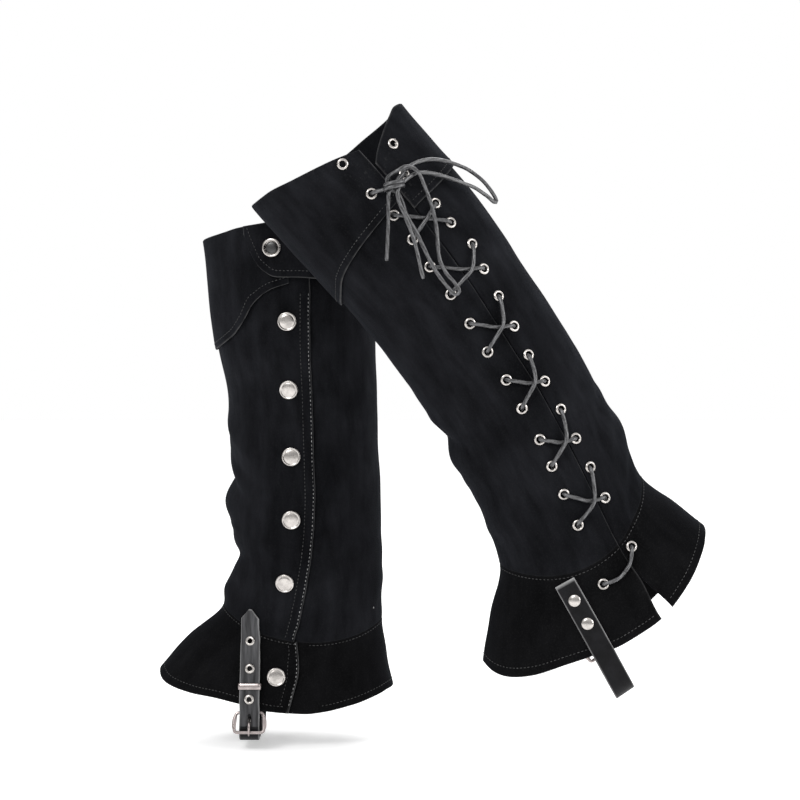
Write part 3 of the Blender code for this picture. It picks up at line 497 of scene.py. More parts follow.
def grey(level):
    return (level, level, level)


def faded(material, value, fade):
    """Grey that goes from low to high as the value goes from start to end."""
    return ramp(material, value, ((fade.start, grey(fade.low)), (fade.end, grey(fade.high))))


def blend_colours(material, share, first, second):
    node = add_node(material, "ShaderNodeMix", data_type="RGBA")
    join(material, share, node.inputs["Factor"])
    for socket, colour in ((node.inputs[6], first), (node.inputs[7], second)):
        if isinstance(colour, tuple):
            socket.default_value = (*colour, 1)
        else:
            join(material, colour, socket)
    return node.outputs[2]


def combined(material, operation, first, second):
    node = add_node(material, "ShaderNodeMath", operation=operation)
    for socket, value in zip(node.inputs, (first, second)):
        if isinstance(value, (int, float)):
            socket.default_value = value
        else:
            join(material, value, socket)
    return node.outputs["Value"]


def add_bump(material, height, strength, distance):
    node = add_node(material, "ShaderNodeBump")
    node.inputs["Strength"].default_value = strength
    node.inputs["Distance"].default_value = distance
    join(material, height, node.inputs["Height"])
    join(material, node.outputs["Normal"], shader_of(material).inputs["Normal"])


def attribute(material, name):
    return add_node(material, "ShaderNodeAttribute", attribute_name=name).outputs["Fac"]


# %% Suede
SHEEN = {"Sheen Weight": 0.026, "Sheen Roughness": 0.5, "Sheen Tint": (0.55, 0.62, 0.80, 1)}
SUEDE_SPECULAR = 0.03
STROKE_TURN = 14
STROKE_STRETCH = (5.0, 1.4, 1.0)
STROKES = Noise(1.6, 4.0, 0.6)
PATCHES = Noise(13.0, 3.0, 0.55)
BRUSHED = Fade(0.12, 0.0, 0.45, 1.0)
PILE = Noise(950.0, 3.0, 0.65)
FIBRES = Fade(0.52, 0.0, 0.80, 0.30)
FIBRE_TONE = grey(0.024)
SCUFF_MARKS = Noise(330.0, 3.0, 0.6)
SCUFF_MARK_FADE = Fade(0.60, 0.0, 0.70, 1.0)
SCUFF_PLACES = Noise(11.0, 2.0, 0.5)
SCUFF_PLACE_FADE = Fade(0.62, 0.0, 0.74, 0.4)
SCUFF_TONE = grey(0.050)
Dust = namedtuple("Dust", "cell radius share")
DUST = Dust(0.026, 0.00075, 0.13)
DUST_TONE = grey(0.30)
EDGE_WEAR = Noise(120.0, 3.0, 0.5)
EDGE_WEAR_FADE = Fade(0.3, 0.3, 0.6, 1.0)
EDGE_TONE = grey(0.070)
SUEDE_ROUGHNESS = Fade(0.0, 0.96, 1.0, 0.84)
NAP_STRETCH = (1.0, 0.45, 1.0)
NAP = Noise(160.0, 3.0, 0.7)
LUMPS = Noise(90.0, 2.0, 0.5)
LUMP_SHARE = 0.8
NAP_STRENGTH = 0.42
NAP_DEPTH = 0.0009


def specks(material, vector, dust):
    """1 inside sparse round specks: one in the middle of a share of the cells, 0 elsewhere."""
    cells = add_node(material, "ShaderNodeTexVoronoi")
    cells.inputs["Scale"].default_value = 1 / dust.cell
    join(material, vector, cells.inputs["Vector"])
    chance = add_node(material, "ShaderNodeSeparateColor")
    join(material, cells.outputs["Color"], chance.inputs[0])
    chosen = combined(material, "GREATER_THAN", chance.outputs[0], 1 - dust.share)
    near = combined(material, "LESS_THAN", cells.outputs["Distance"], dust.radius / dust.cell)
    return combined(material, "MULTIPLY", chosen, near)


def make_suede(name, dark, brushed_tone):
    suede = plain_material(name, dark, 0.9)
    shader = shader_of(suede)
    shader.inputs["Specular IOR Level"].default_value = SUEDE_SPECULAR
    for label, value in SHEEN.items():
        shader.inputs[label].default_value = value
    cloth, room = own_map(suede), in_room(suede)
    strokes = noise(suede, stretched(suede, cloth, STROKE_STRETCH, STROKE_TURN), STROKES)
    patches = noise(suede, room, PATCHES)
    brushed = faded(suede, combined(suede, "MULTIPLY", strokes, patches), BRUSHED)
    tone = blend_colours(suede, brushed, dark, brushed_tone)
    fibres = faded(suede, noise(suede, room, PILE), FIBRES)
    napped = blend_colours(suede, fibres, tone, FIBRE_TONE)
    marks = faded(suede, noise(suede, room, SCUFF_MARKS), SCUFF_MARK_FADE)
    places = faded(suede, noise(suede, room, SCUFF_PLACES), SCUFF_PLACE_FADE)
    scuffed = blend_colours(suede, combined(suede, "MULTIPLY", marks, places), napped, SCUFF_TONE)
    dusty = blend_colours(suede, specks(suede, room, DUST), scuffed, DUST_TONE)
    wear = faded(suede, noise(suede, room, EDGE_WEAR), EDGE_WEAR_FADE)
    worn = combined(suede, "MULTIPLY", attribute(suede, "edge"), wear)
    join(suede, blend_colours(suede, worn, dusty, EDGE_TONE), shader.inputs["Base Color"])
    join(suede, faded(suede, brushed, SUEDE_ROUGHNESS), shader.inputs["Roughness"])
    nap = noise(suede, stretched(suede, cloth, NAP_STRETCH, STROKE_TURN), NAP)
    lumps = combined(suede, "MULTIPLY", noise(suede, room, LUMPS), LUMP_SHARE)
    add_bump(suede, combined(suede, "ADD", nap, lumps), NAP_STRENGTH, NAP_DEPTH)
    return suede


SUEDE = make_suede("suede", (0.0024, 0.0025, 0.0030), (0.0112, 0.0117, 0.0140))
# painted shade: the spats get the same suede in darker tones, for the dimmer light low down
PAINTED_SHADE_SPAT_SUEDE = make_suede("spat_suede", (0.0015, 0.0015, 0.0016), (0.0048, 0.0048, 0.0053))
for hide in (SUEDE, PAINTED_SHADE_SPAT_SUEDE):
    print(hide.name, "has", len(hide.node_tree.nodes), "nodes")

# %% [markdown]
# The straps are smooth black leather with a faint gloss. Its grain is a net of tiny flat cells, which
# a Voronoi texture gives. Their rims are painted pale, a painted highlight along the edges. A second
# attribute paints the strap's free length, on the buckle side, with lighter grey streaks: a painted
# sheen for the gloss light it catches. Nickel plate is a metal with a clear reflection, softened here
# and there by fingerprints and fine scratches. The buckle is plated a little darker and pinker than
# the snaps. The lace is a round waxed cord with a fine lengthwise twist.

# %% Smooth leather
LEATHER_ROUGHNESS = Fade(0.3, 0.36, 0.75, 0.50)
LEATHER_SPECULAR = 0.13
GRAIN_SCALE = 900.0
GRAIN = Fade(0.0, 0.0, 0.12, 1.0)
WEAR = Noise(60.0, 4.0, 0.6)
LEATHER_TONES = ((0.35, (0.0025, 0.0025, 0.003)), (0.72, (0.008, 0.008, 0.0095)))
STREAK_STRETCH = (26.0, 2.2, 1.0)
STREAKS = Noise(1.0, 3.0, 0.6)
# painted highlight: lighter grey streaks stand in for the sheen on the strap's free length
SHEEN_STREAK_TONES = ((0.34, (0.016, 0.016, 0.017)), (0.66, (0.076, 0.076, 0.080)))
# painted highlight: a pale line along the strap's rims
EDGE_HIGHLIGHT = Fade(0.3, 0.5, 0.6, 1.0)
EDGE_HIGHLIGHT_TONE = grey(0.36)
GRAIN_STRENGTH = 0.22
GRAIN_DEPTH = 0.00035


def make_leather():
    leather = plain_material("smooth_leather", grey(0.012), LEATHER_ROUGHNESS.low)
    shader = shader_of(leather)
    shader.inputs["Specular IOR Level"].default_value = LEATHER_SPECULAR
    room = in_room(leather)
    cells = add_node(leather, "ShaderNodeTexVoronoi", feature="DISTANCE_TO_EDGE")
    cells.inputs["Scale"].default_value = GRAIN_SCALE
    join(leather, room, cells.inputs["Vector"])
    grain = faded(leather, cells.outputs["Distance"], GRAIN)
    wear = noise(leather, room, WEAR)
    tone = ramp(leather, wear, LEATHER_TONES)
    # the free length is painted lighter in streaks, a painted sheen
    streaks = noise(leather, stretched(leather, own_map(leather), STREAK_STRETCH), STREAKS)
    sheen_streaks = ramp(leather, streaks, SHEEN_STREAK_TONES)
    handled = blend_colours(leather, attribute(leather, "handled"), tone, sheen_streaks)
    # the rims are painted pale, a painted edge highlight
    pale = combined(leather, "MULTIPLY", attribute(leather, "edge"), faded(leather, wear, EDGE_HIGHLIGHT))
    join(leather, blend_colours(leather, pale, handled, EDGE_HIGHLIGHT_TONE), shader.inputs["Base Color"])
    join(leather, faded(leather, wear, LEATHER_ROUGHNESS), shader.inputs["Roughness"])
    add_bump(leather, combined(leather, "ADD", grain, wear), GRAIN_STRENGTH, GRAIN_DEPTH)
    return leather


LEATHER = make_leather()

# %% Nickel plate and the buckle's plating
PRINTS = Noise(170.0, 3.0, 0.6)
PRINTED_FROM, PRINTED_FULLY = 0.35, 0.75
DULLED_SHARE = 0.72
ROUGHER_BY = 0.16
SCRATCHES = Noise(500.0, 2.0, 0.5)
SCRATCH_STRETCH = (3.0, 0.4, 3.0)
SCRATCH_TURN = 30
SCRATCH_STRENGTH = 0.12
SCRATCH_DEPTH = 0.0002


def make_plate(name, colour, roughness):
    plate = plain_material(name, colour, roughness, 1.0)
    shader = shader_of(plate)
    room = in_room(plate)
    prints = noise(plate, room, PRINTS)
    dulled = tuple(DULLED_SHARE * part for part in colour)
    tones = ((PRINTED_FROM, colour), (PRINTED_FULLY, dulled))
    join(plate, ramp(plate, prints, tones), shader.inputs["Base Color"])
    rougher = Fade(0.3, roughness, 0.7, roughness + ROUGHER_BY)
    join(plate, faded(plate, prints, rougher), shader.inputs["Roughness"])
    scratches = noise(plate, stretched(plate, room, SCRATCH_STRETCH, SCRATCH_TURN), SCRATCHES)
    add_bump(plate, scratches, SCRATCH_STRENGTH, SCRATCH_DEPTH)
    return plate


NICKEL = make_plate("nickel", (0.55, 0.52, 0.495), 0.18)
DARK_SOCKET = make_plate("snap_socket", (0.075, 0.075, 0.075), 0.30)
GUNMETAL = make_plate("buckle_plating", (0.42, 0.37, 0.36), 0.24)

# %% Waxed cord and sewing thread
CORD_STRANDS = 3
CORD_SPECULAR = 0.75
TWIST_UNEVEN = 0.8
TWIST_STRETCH = (0.30, 1.0, 1.0)
TWIST_SHARE = 0.35
FUZZ = Noise(420.0, 3.0, 0.5)
CORD_TONES = ((0.45, (0.013, 0.013, 0.014)), (0.95, (0.085, 0.085, 0.090)))
CORD_STRENGTH = 0.35
CORD_DEPTH = 0.0004
THREAD_TONE = Noise(260.0, 2.0, 0.5)
THREAD_TONE_PLACES = (0.35, 0.65)
THREAD_FUZZ = Noise(1500.0, 1.0, 0.5)
THREAD_STRENGTH = 0.3
THREAD_DEPTH = 0.0002


def make_cord():
    cord = plain_material("lace_cord", grey(0.05), 0.36)
    shader = shader_of(cord)
    shader.inputs["Specular IOR Level"].default_value = CORD_SPECULAR
    twist = add_node(cord, "ShaderNodeTexWave", wave_type="BANDS", bands_direction="DIAGONAL")
    twist.inputs["Scale"].default_value = CORD_STRANDS * 2 * math.pi / 10
    twist.inputs["Distortion"].default_value = TWIST_UNEVEN
    join(cord, stretched(cord, own_map(cord), TWIST_STRETCH), twist.inputs["Vector"])
    twisted = combined(cord, "MULTIPLY", twist.outputs["Fac"], TWIST_SHARE)
    mixed = combined(cord, "ADD", twisted, noise(cord, in_room(cord), FUZZ))
    join(cord, ramp(cord, mixed, CORD_TONES), shader.inputs["Base Color"])
    add_bump(cord, mixed, CORD_STRENGTH, CORD_DEPTH)
    return cord


def make_thread(name, dark, light):
    thread = plain_material(name, dark, 0.7)
    room = in_room(thread)
    tones = zip(THREAD_TONE_PLACES, (dark, light))
    fibres = ramp(thread, noise(thread, room, THREAD_TONE), tuple(tones))
    join(thread, fibres, shader_of(thread).inputs["Base Color"])
    add_bump(thread, noise(thread, room, THREAD_FUZZ), THREAD_STRENGTH, THREAD_DEPTH)
    return thread


LACE_CORD = make_cord()
PALE_THREAD = make_thread("pale_thread", grey(0.10), grey(0.42))
DARK_THREAD = make_thread("dark_thread", grey(0.010), grey(0.042))
for finish in (LEATHER, NICKEL, GUNMETAL, LACE_CORD, PALE_THREAD):
    print(finish.name, "has", len(finish.node_tree.nodes), "nodes")

# %% [markdown]
# ## The laces
#
# One cord of about 1.7 metres laces each cover. It starts at the ankle with a loose crossing, climbs
# through the eyelets with an X outside on every second pair, and ends above in a bow. It is built as
# two halves that meet at that crossing. A cord is a long path with a small section carried along it.
# The path comes first: at an eyelet it dives through the cloth, and where the halves cross outside,
# the one that rises to the heel passes over the other. The bow has no rule, so its points are a
# short table read from how it hangs: how far to the heel, how far down, and how far out.

# %% Sizes of cloth and lacing
WALL = 1.8
SEAM = 0.3
PANEL_SEAM = 0.4
LAYER_GAP = 0.9
LAYER = WALL + LAYER_GAP
LEG_TOP = 60.0
LEG_RISE = 20.0
LEG_RISE_FROM = 25.0
LEG_RISE_OVER = 20.0
ANKLE = 365.0
LACE = 3.2
LACE_CLEAR = 0.7
LACE_OVER = WALL + SEAM + LACE / 2 + 0.1
LACE_SLANT = 1.4
LACE_HALF_GAP = 0.15
LACE_UNDER_EDGE = 2.5
LACE_RISES_SOONER = 0.6
LACE_OVER_LACE = LACE + SEAM + 0.2
CROSSING_SAG = 7.0
KNOT_DOWN = 52.0
CUFF_LAP_BEGINS = 44.0
LAP_RISE = 14.0
TAB_START = 235.0
TAB_RISE = 20.0
CUFF_FLARE = 2.5
CUFF_FLARE_ANGLE = 178.0
CUFF_FLARE_SPREAD = 40.0
CUFF_FLARE_FROM = 45.0
CUFF_FLARE_OVER = 60.0
SLIT = ((0, 111), (365, 107), (450, 107.5))

Eyelet = namedtuple("Eyelet", "front_across front_down back_across back_down")
EYELETS = (
    Eyelet(-22, 16, 21, 26),
    Eyelet(-20, 50, 10, 52),
    Eyelet(-17, 75, 17, 86),
    Eyelet(-17, 100, 17, 106),
    Eyelet(-19, 126, 21, 130),
    Eyelet(-18.5, 154, 16.5, 152),
    Eyelet(-18.5, 182, 14, 177),
    Eyelet(-19, 208, 11, 203.5),
    Eyelet(-18.5, 233.5, 8, 228),
    Eyelet(-20, 257.5, 7.5, 251.5),
    Eyelet(-19.5, 282, 7.5, 274.5),
    Eyelet(-21, 301, 7.5, 297),
    Eyelet(-22.5, 320, 7.5, 318),
    Eyelet(-23, 339, 7.5, 337.5),
    Eyelet(-25, 384.5, 9, 375.5),
)
CUFF_EYELETS = 2
SPAT_EYELET = 14

Bow = namedtuple("Bow", "heelward drop lift")
Sway = namedtuple("Sway", "share rising crossing")
LACE_SWAYS = (Sway(0.3, 3.5, 1.5), Sway(0.5, 6.0, 2.0), Sway(0.7, 4.5, 1.0))
SWAYS_FROM_ROW = 5
FIRST_TURN = 0.4
FIRST_TURN_SAG = 2.1
FRONT_BOW = (
    Bow(-7, 7, 10.2),
    Bow(-2, 4, 11.6),
    Bow(3, -2, 11.2),
    Bow(9, -9, 10.8),
    Bow(19, -14, 10.7),
    Bow(32, -17, 10.4),
    Bow(46, -17, 10),
    Bow(59, -15, 10.5),
    Bow(69, -11, 11.5),
    Bow(76, -1, 13.2),
    Bow(81, 11, 14),
    Bow(83, 17, 12.5),
    Bow(76, 12, 10.8),
    Bow(66, 6, 9.6),
    Bow(55, 3, 9.2),
    Bow(41, -1, 9.6),
    Bow(28, -4, 10.2),
    Bow(16, -4, 12),
    Bow(7, 1, 12.8),
    Bow(1, 8, 15),
    Bow(0, 16, 15.6),
    Bow(5, 31, 15.6),
    Bow(12, 51, 15.6),
    Bow(20, 82, 15.6),
)
BACK_BOW = (
    Bow(-2, 5, 6.6),
    Bow(-6, 1, 7),
    Bow(-5, -3, 9.5),
    Bow(1, -6, 15.8),
    Bow(7, -8, 16.6),
    Bow(14, -3, 16.8),
    Bow(19, 7, 14.8),
    Bow(23, 16, 12.4),
    Bow(26, 26, 11.8),
    Bow(29, 43, 11.6),
    Bow(31, 67, 11.6),
    Bow(36, 79, 11.6),
    Bow(43, 88, 11.6),
    Bow(46, 94, 11.6),
    Bow(43, 96, 11.6),
    Bow(39, 92, 11.6),
    Bow(31, 81, 11.6),
    Bow(24, 67, 11.6),
    Bow(14, 45, 11.6),
    Bow(7, 31, 11.6),
    Bow(3, 17, 11.4),
    Bow(0, 11, 11.4),
    Bow(-5, 10, 12.8),
    Bow(-6, 18, 12.6),
    Bow(-6, 37, 12),
    Bow(-7, 65, 12),
)


# %% How far each layer stands off the sleeve
def cuff_flare(angle, down):
    """The back cuff's lower edge stands off the leg a little behind."""
    behind = np.exp(-((angle - CUFF_FLARE_ANGLE) / CUFF_FLARE_SPREAD) ** 2)
    return CUFF_FLARE * behind * smooth_step((down - CUFF_FLARE_FROM) / CUFF_FLARE_OVER)


def front_cuff_lift(angle, down):
    return LAYER + LAYER * smooth_step((-angle - CUFF_LAP_BEGINS) / LAP_RISE)


def back_cuff_lift(angle, down):
    over_front = 2 * LAYER * smooth_step((angle - TAB_START) / TAB_RISE)
    return LAYER + over_front + cuff_flare(angle, down)


def eyelet_place(cover, row, column):
    """Angle and distance down of one eyelet; column -1 is the front one."""
    eyelet = EYELETS[row]
    across, down = eyelet[:2] if column < 0 else eyelet[2:]
    return float(stepped(cover, along(SLIT, down), down, across)), float(down)


def wall_lift(row, angle, down):
    """Lift of the inner face of the panel that an eyelet goes through."""
    if row >= CUFF_EYELETS:
        return 0.0
    return float(back_cuff_lift(angle, down) if angle > 110 else front_cuff_lift(angle, down))


# %% The lace's route
def through(cover, row, column, toward, outside):
    """Two points of the lace at an eyelet: inside the cloth and outside it."""
    angle, down = eyelet_place(cover, row, column)
    base = wall_lift(row, angle, down)
    speed = around_speed(cover, angle, down)
    step = unit(np.array(((toward[0] - angle) * speed, toward[1] - down))) * LACE_SLANT
    outer_point = lay(cover, angle + step[0] / speed, down + step[1], base + LACE_OVER)
    inner_point = lay(cover, angle, down + outside * LACE_SLANT, base - LACE_CLEAR - LACE / 2)
    return inner_point, outer_point


def lace_route(cover, first_column, bow):
    """From the bottom crossing up through the eyelets, then the knot, the loop and the free end."""
    own = eyelet_place(cover, SPAT_EYELET, first_column)
    other = eyelet_place(cover, SPAT_EYELET, -first_column)
    centre = ((own[0] + other[0]) / 2, (own[1] + other[1]) / 2 + CROSSING_SAG)
    start_angle = stepped(cover, centre[0], centre[1], first_column * LACE_HALF_GAP)
    points = [lay(cover, start_angle, centre[1], LACE_OVER)]
    quarter = tuple(centre[k] + (own[k] - centre[k]) * FIRST_TURN for k in (0, 1))
    quarter = (quarter[0], quarter[1] + FIRST_TURN_SAG)
    points.append(lay(cover, quarter[0], quarter[1], LACE_OVER))
    points += through(cover, SPAT_EYELET, first_column, quarter, -1)[::-1]
    column = first_column
    for lower_row in range(SPAT_EYELET - 1, 1, -2):
        leave = eyelet_place(cover, lower_row, column)
        enter = eyelet_place(cover, lower_row - 1, -column)
        rises = column < 0
        high = LACE_OVER + (LACE_OVER_LACE if rises else 0.0)
        points += through(cover, lower_row, column, enter, 1)
        speed = around_speed(cover, leave[0], leave[1])
        heading = unit(np.array(((enter[0] - leave[0]) * speed, enter[1] - leave[1])))
        for sway in LACE_SWAYS:
            share = sway.share
            aside = sway.rising if rises else sway.crossing
            aside *= lower_row >= SWAYS_FROM_ROW
            angle = leave[0] + (enter[0] - leave[0]) * share + abs(heading[1]) * aside * -column / speed
            down = leave[1] + (enter[1] - leave[1]) * share + abs(heading[0]) * aside
            beside = (high + LACE_OVER) / 2 + (LACE_RISES_SOONER if rises else 0)
            lift = high if share == 0.5 else beside
            points.append(lay(cover, angle, down, lift))
        points += through(cover, lower_row - 1, -column, leave, -1)[::-1]
        column = -column
    knot_angle = float(along(SLIT, KNOT_DOWN))
    top_angle, _ = eyelet_place(cover, 1, column)
    points.append(lay(cover, top_angle, LEG_TOP - LACE_UNDER_EDGE, -LACE_CLEAR - LACE / 2))
    points += through(cover, 1, column, (knot_angle, KNOT_DOWN), 1)
    points += [bow_point(cover, step) for step in bow]
    return np.array(points)


def bow_point(cover, step):
    """Place of a bow's point: the bow hangs straight down whatever the tilt of the leg."""
    turn = math.radians(cover.tilt)
    heelward = step.heelward * cover.bow_reach
    across = heelward * math.cos(turn) - step.drop * math.sin(turn)
    down = KNOT_DOWN + heelward * math.sin(turn) + step.drop * math.cos(turn)
    angle = stepped(cover, float(along(SLIT, KNOT_DOWN)), down, across)
    return lay(cover, angle, down, step.lift + cuff_flare(angle, down))


def smooth_path(route, longest, closed=False):
    """Points on a smooth curve through a route, none further apart than the longest step."""
    count = len(route)
    points = []
    for i in range(count if closed else count - 1):
        start, end = route[i], route[(i + 1) % count]
        before = route[i - 1] if closed or i else start
        after = route[(i + 2) % count] if closed or i + 2 < count else end
        length = np.linalg.norm(end - start)
        t = np.arange(0, 1, 1 / max(1, math.ceil(length / longest)))[:, None]
        pull = unit(end - before) * length, unit(after - start) * length
        points.append(
            (1 + 2 * t) * (1 - t) ** 2 * start + t * (1 - t) ** 2 * pull[0]
            + t * t * (3 - 2 * t) * end - t * t * (1 - t) * pull[1])
    return np.concatenate(points if closed else (*points, route[-1:]))


route = lace_route(STEPPING, -1, FRONT_BOW)
print(len(route), "points guide half a lace")

# %% [markdown]
# A section has to be carried along the path without spinning round it. The frames below do that: each
# one starts from the last and is only tipped as far as the path bends. The same function serves the
# lace, the buckle's wire, the prong and the keeper, because all of them are a section on a path.


# %% A section carried along a path
CENTIMETRE = 0.01


def steps_along(path):
    """How far along a path each of its points lies."""
    return np.concatenate(((0,), np.cumsum(np.linalg.norm(np.diff(path, axis=0), axis=1))))


def carried_frames(path, closed, start):
    """Directions ahead, sideways and up at each point, which never twist about the path."""
    if closed:
        ahead = unit(np.roll(path, -1, 0) - np.roll(path, 1, 0))
    else:
        ahead = unit(np.gradient(path, axis=0))
    side = np.empty_like(path)
    last = np.array(start, float)
    for k, forward in enumerate(ahead):
        last = unit(last - forward * last.dot(forward))
        side[k] = last
    return ahead, side, np.cross(ahead, side)


def sweep(name, path, section, material, closed=False, start=(0.3, 0.2, 0.9), scales=None, roll=None):
    """Closed skin of a section, in metres, carried along a path; the ends get flat caps."""
    _, side, up = carried_frames(path, closed, start)
    count = len(section)
    scales = np.ones((len(path), 2)) if scales is None else scales
    turn = np.zeros(len(path)) if roll is None else roll
    a = section[None, :, 0] * scales[:, :1]
    b = section[None, :, 1] * scales[:, 1:]
    rolled_a = a * np.cos(turn)[:, None] - b * np.sin(turn)[:, None]
    rolled_b = a * np.sin(turn)[:, None] + b * np.cos(turn)[:, None]
    rings = path[:, None] + side[:, None] * rolled_a[..., None] + up[:, None] * rolled_b[..., None]
    ids = np.arange(len(path) * count).reshape(len(path), count)
    ahead_ids = np.roll(ids, -1, 0) if closed else ids[1:]
    here = ids if closed else ids[:-1]
    corners = (here, np.roll(here, -1, 1), np.roll(ahead_ids, -1, 1), ahead_ids)
    faces = np.stack(corners, -1).reshape(-1, 4).tolist()
    points = rings.reshape(-1, 3)
    if not closed:
        points = np.concatenate((points, path[:1], path[-1:]))
        first, last = len(path) * count, len(path) * count + 1
        for i in range(count):
            j = (i + 1) % count
            faces.append((first, ids[0, j], ids[0, i]))
            faces.append((last, ids[-1, i], ids[-1, j]))
    thing = add_mesh(name, points, faces, material)
    lengths = steps_along(path) / CENTIMETRE
    u = np.concatenate((np.repeat(lengths, count), (0, lengths[-1])))
    v = np.concatenate((np.tile(np.arange(count) / count, len(path)), (0, 0)))
    add_map(thing, u[:len(points)], v[:len(points)])
    return thing


def add_map(thing, u, v):
    """Gives a piece its own map, one place for each of its points."""
    mesh = thing.data
    layer = mesh.uv_layers.new(name="cloth")
    corner_points = np.empty(len(mesh.loops), np.int64)
    mesh.loops.foreach_get("vertex_index", corner_points)
    layer.data.foreach_set("uv", np.stack((u, v), -1)[corner_points].ravel())


def circle(radius, sides):
    turns = np.arange(sides) * 2 * math.pi / sides
    return np.stack((np.cos(turns), np.sin(turns)), -1) * radius


def ride(piece, slot, *nodes):
    """The piece moves with the root, and the solids it stands for are hidden; the slot is not used."""
    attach(piece, "root")
    if nodes:
        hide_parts(*nodes)


# %% Lace the covers
LACE_SIDES = 14
LACE_STEP = 2.4
LACE_FULL = 1.03
GROOVE = 0.16
GROOVE_SPREAD = 0.45
LACE_END_SHARE = 0.72
LACE_TURNS_PER_METRE = 5.0


def lace_section():
    """Round, with one shallow groove where the cord is folded on itself."""
    section = circle(LACE / 2 * MM, LACE_SIDES)
    turns = np.arange(LACE_SIDES) * 2 * math.pi / LACE_SIDES
    depth = LACE_FULL - GROOVE * np.exp(-((turns - math.pi) / GROOVE_SPREAD) ** 2)
    return section * depth[:, None]


for cover in COVERS:
    for half, column, bow in (("a", -1, FRONT_BOW), ("b", 1, BACK_BOW)):
        path = place(cover, smooth_path(lace_route(cover, column, bow), LACE_STEP))
        steps = steps_along(path)
        scales = np.ones((len(path), 2))
        scales[-1] = LACE_END_SHARE
        node = f"{cover.name}_lace_{half}"
        piece = sweep(
            f"{node}_cord", path, lace_section(), LACE_CORD, scales=scales,
            roll=steps * LACE_TURNS_PER_METRE * 2 * math.pi)
        ride(piece, "lace_cord", node)

# %% [markdown]
# ## The cloth
#
# Eight panels of a leather almost two millimetres thick wrap the calf and the boot, with four cuff
# pieces over them. Cloth this stiff bends but does not drape, so a simulation has little to add. Each
# panel is a fine grid of places on the sleeve, raised by its layer, with a second grid below it for
# the inner face and walls round the rim. Extra rows close to the rim round it off, as a knife cut does
# in leather, and carry the edge attribute that turns the rim pale. Cells are left out at each eyelet,
# and the points around are drawn in to a true circle, so the hole is real and the lace goes through.
# At the ankle the leg and spat panels close the hair-wide seam that their solids keep open.

# %% Sizes of the panels
UNDERLAP = 26.0
LAP_BEGINS = 46.0
SLIT_HALF_GAP = 0.45
SPAT_SPLIT = 396.0
SPAT_SPREAD = 3.3
PLACKET = ((60, -104), (100, -102), (160, -99.5), (240, -98.5), (290, -95), (335, -89), (365, -86))
SPAT_PLACKET = ((365, -88), (407, -95), (450, -94))
HEM = (
    (0, 450), (20, 448), (45, 443.5), (65, 440), (78, 441.5), (90, 446),
    (100, 446), (108, 444), (125, 439), (145, 436.5), (160, 438), (180, 446))
Edge = namedtuple("Edge", "angle top bottom")
FRONT_CUFF = (
    Edge(107, 14, 66),
    Edge(88, 8, 73),
    Edge(62, 3, 83),
    Edge(40, 0, 93),
    Edge(20, 0, 105),
    Edge(0, 0, 110),
    Edge(-20, 0, 107),
    Edge(-42, 0, 97),
    Edge(-55, 0, 84),
    Edge(-66, 0, 66),
    Edge(-78, 0, 56),
    Edge(-90, 2, 52),
)
BACK_CUFF = (
    Edge(109, 31, 80),
    Edge(116, 23, 78),
    Edge(127, 14, 76),
    Edge(142, 5, 73),
    Edge(156, 0, 70),
    Edge(178, 0, 66),
    Edge(205, 0, 61),
    Edge(225, 0, 57),
    Edge(245, 0, 51),
    Edge(262, 0, 48),
    Edge(278, 0, 46),
    Edge(287, 0, 38),
    Edge(293, 0, 24),
    Edge(297, 0, 7),
)
CELL = 2.7
RIM_LINES = (0.0, 0.4, 1.2)
ROUND_OFF = (0.60, 0.15, 0.0)
INNER_ROUND_OFF = 0.5
EYELET_CUT = 3.2
CUT_MARGIN = 0.15
CUT_MIDDLE = 0.4
SEAM_CLOSES = 0.2
EDGE_LEVELS = (1.0, 0.45)
DECIMETRE = 100


# %% A grid with finer lines at its rim
def rim_shares(length):
    """Shares of a length, even but for extra lines just inside both ends."""
    count = max(3, round(length / CELL))
    inner = np.linspace(RIM_LINES[-1], length - RIM_LINES[-1], count + 1)
    close = np.array(RIM_LINES[:-1])
    return np.concatenate((close, inner, length - close[::-1])) / length


def rim_depth(count):
    """How many lines each line of a grid lies inside the nearer end."""
    lines = np.arange(count)
    return np.minimum(lines, count - 1 - lines)


def round_off(shape):
    """How much the faces draw together near the rim."""
    table = np.array(ROUND_OFF + (0.0,) * max(shape))
    return np.maximum(table[rim_depth(shape[0])][:, None], table[rim_depth(shape[1])][None])


def punch(u, v, keep, radius):
    """Draws a grid's points to the rim of a round hole at 0, 0 and drops the cells inside it."""
    middle_u = (u[:-1, :-1] + u[1:, :-1] + u[:-1, 1:] + u[1:, 1:]) / 4
    middle_v = (v[:-1, :-1] + v[1:, :-1] + v[:-1, 1:] + v[1:, 1:]) / 4
    gone = np.hypot(middle_u, middle_v) < radius + CUT_MARGIN
    keep &= ~gone
    rim = np.zeros(u.shape, bool)
    for rows in (slice(None, -1), slice(1, None)):
        for columns in (slice(None, -1), slice(1, None)):
            rim[rows, columns] |= gone
    distance = np.hypot(u, v)
    pull = np.where(rim & (distance > CUT_MIDDLE), radius / np.maximum(distance, CUT_MIDDLE), 1.0)
    return u * (pull - 1), v * (pull - 1)


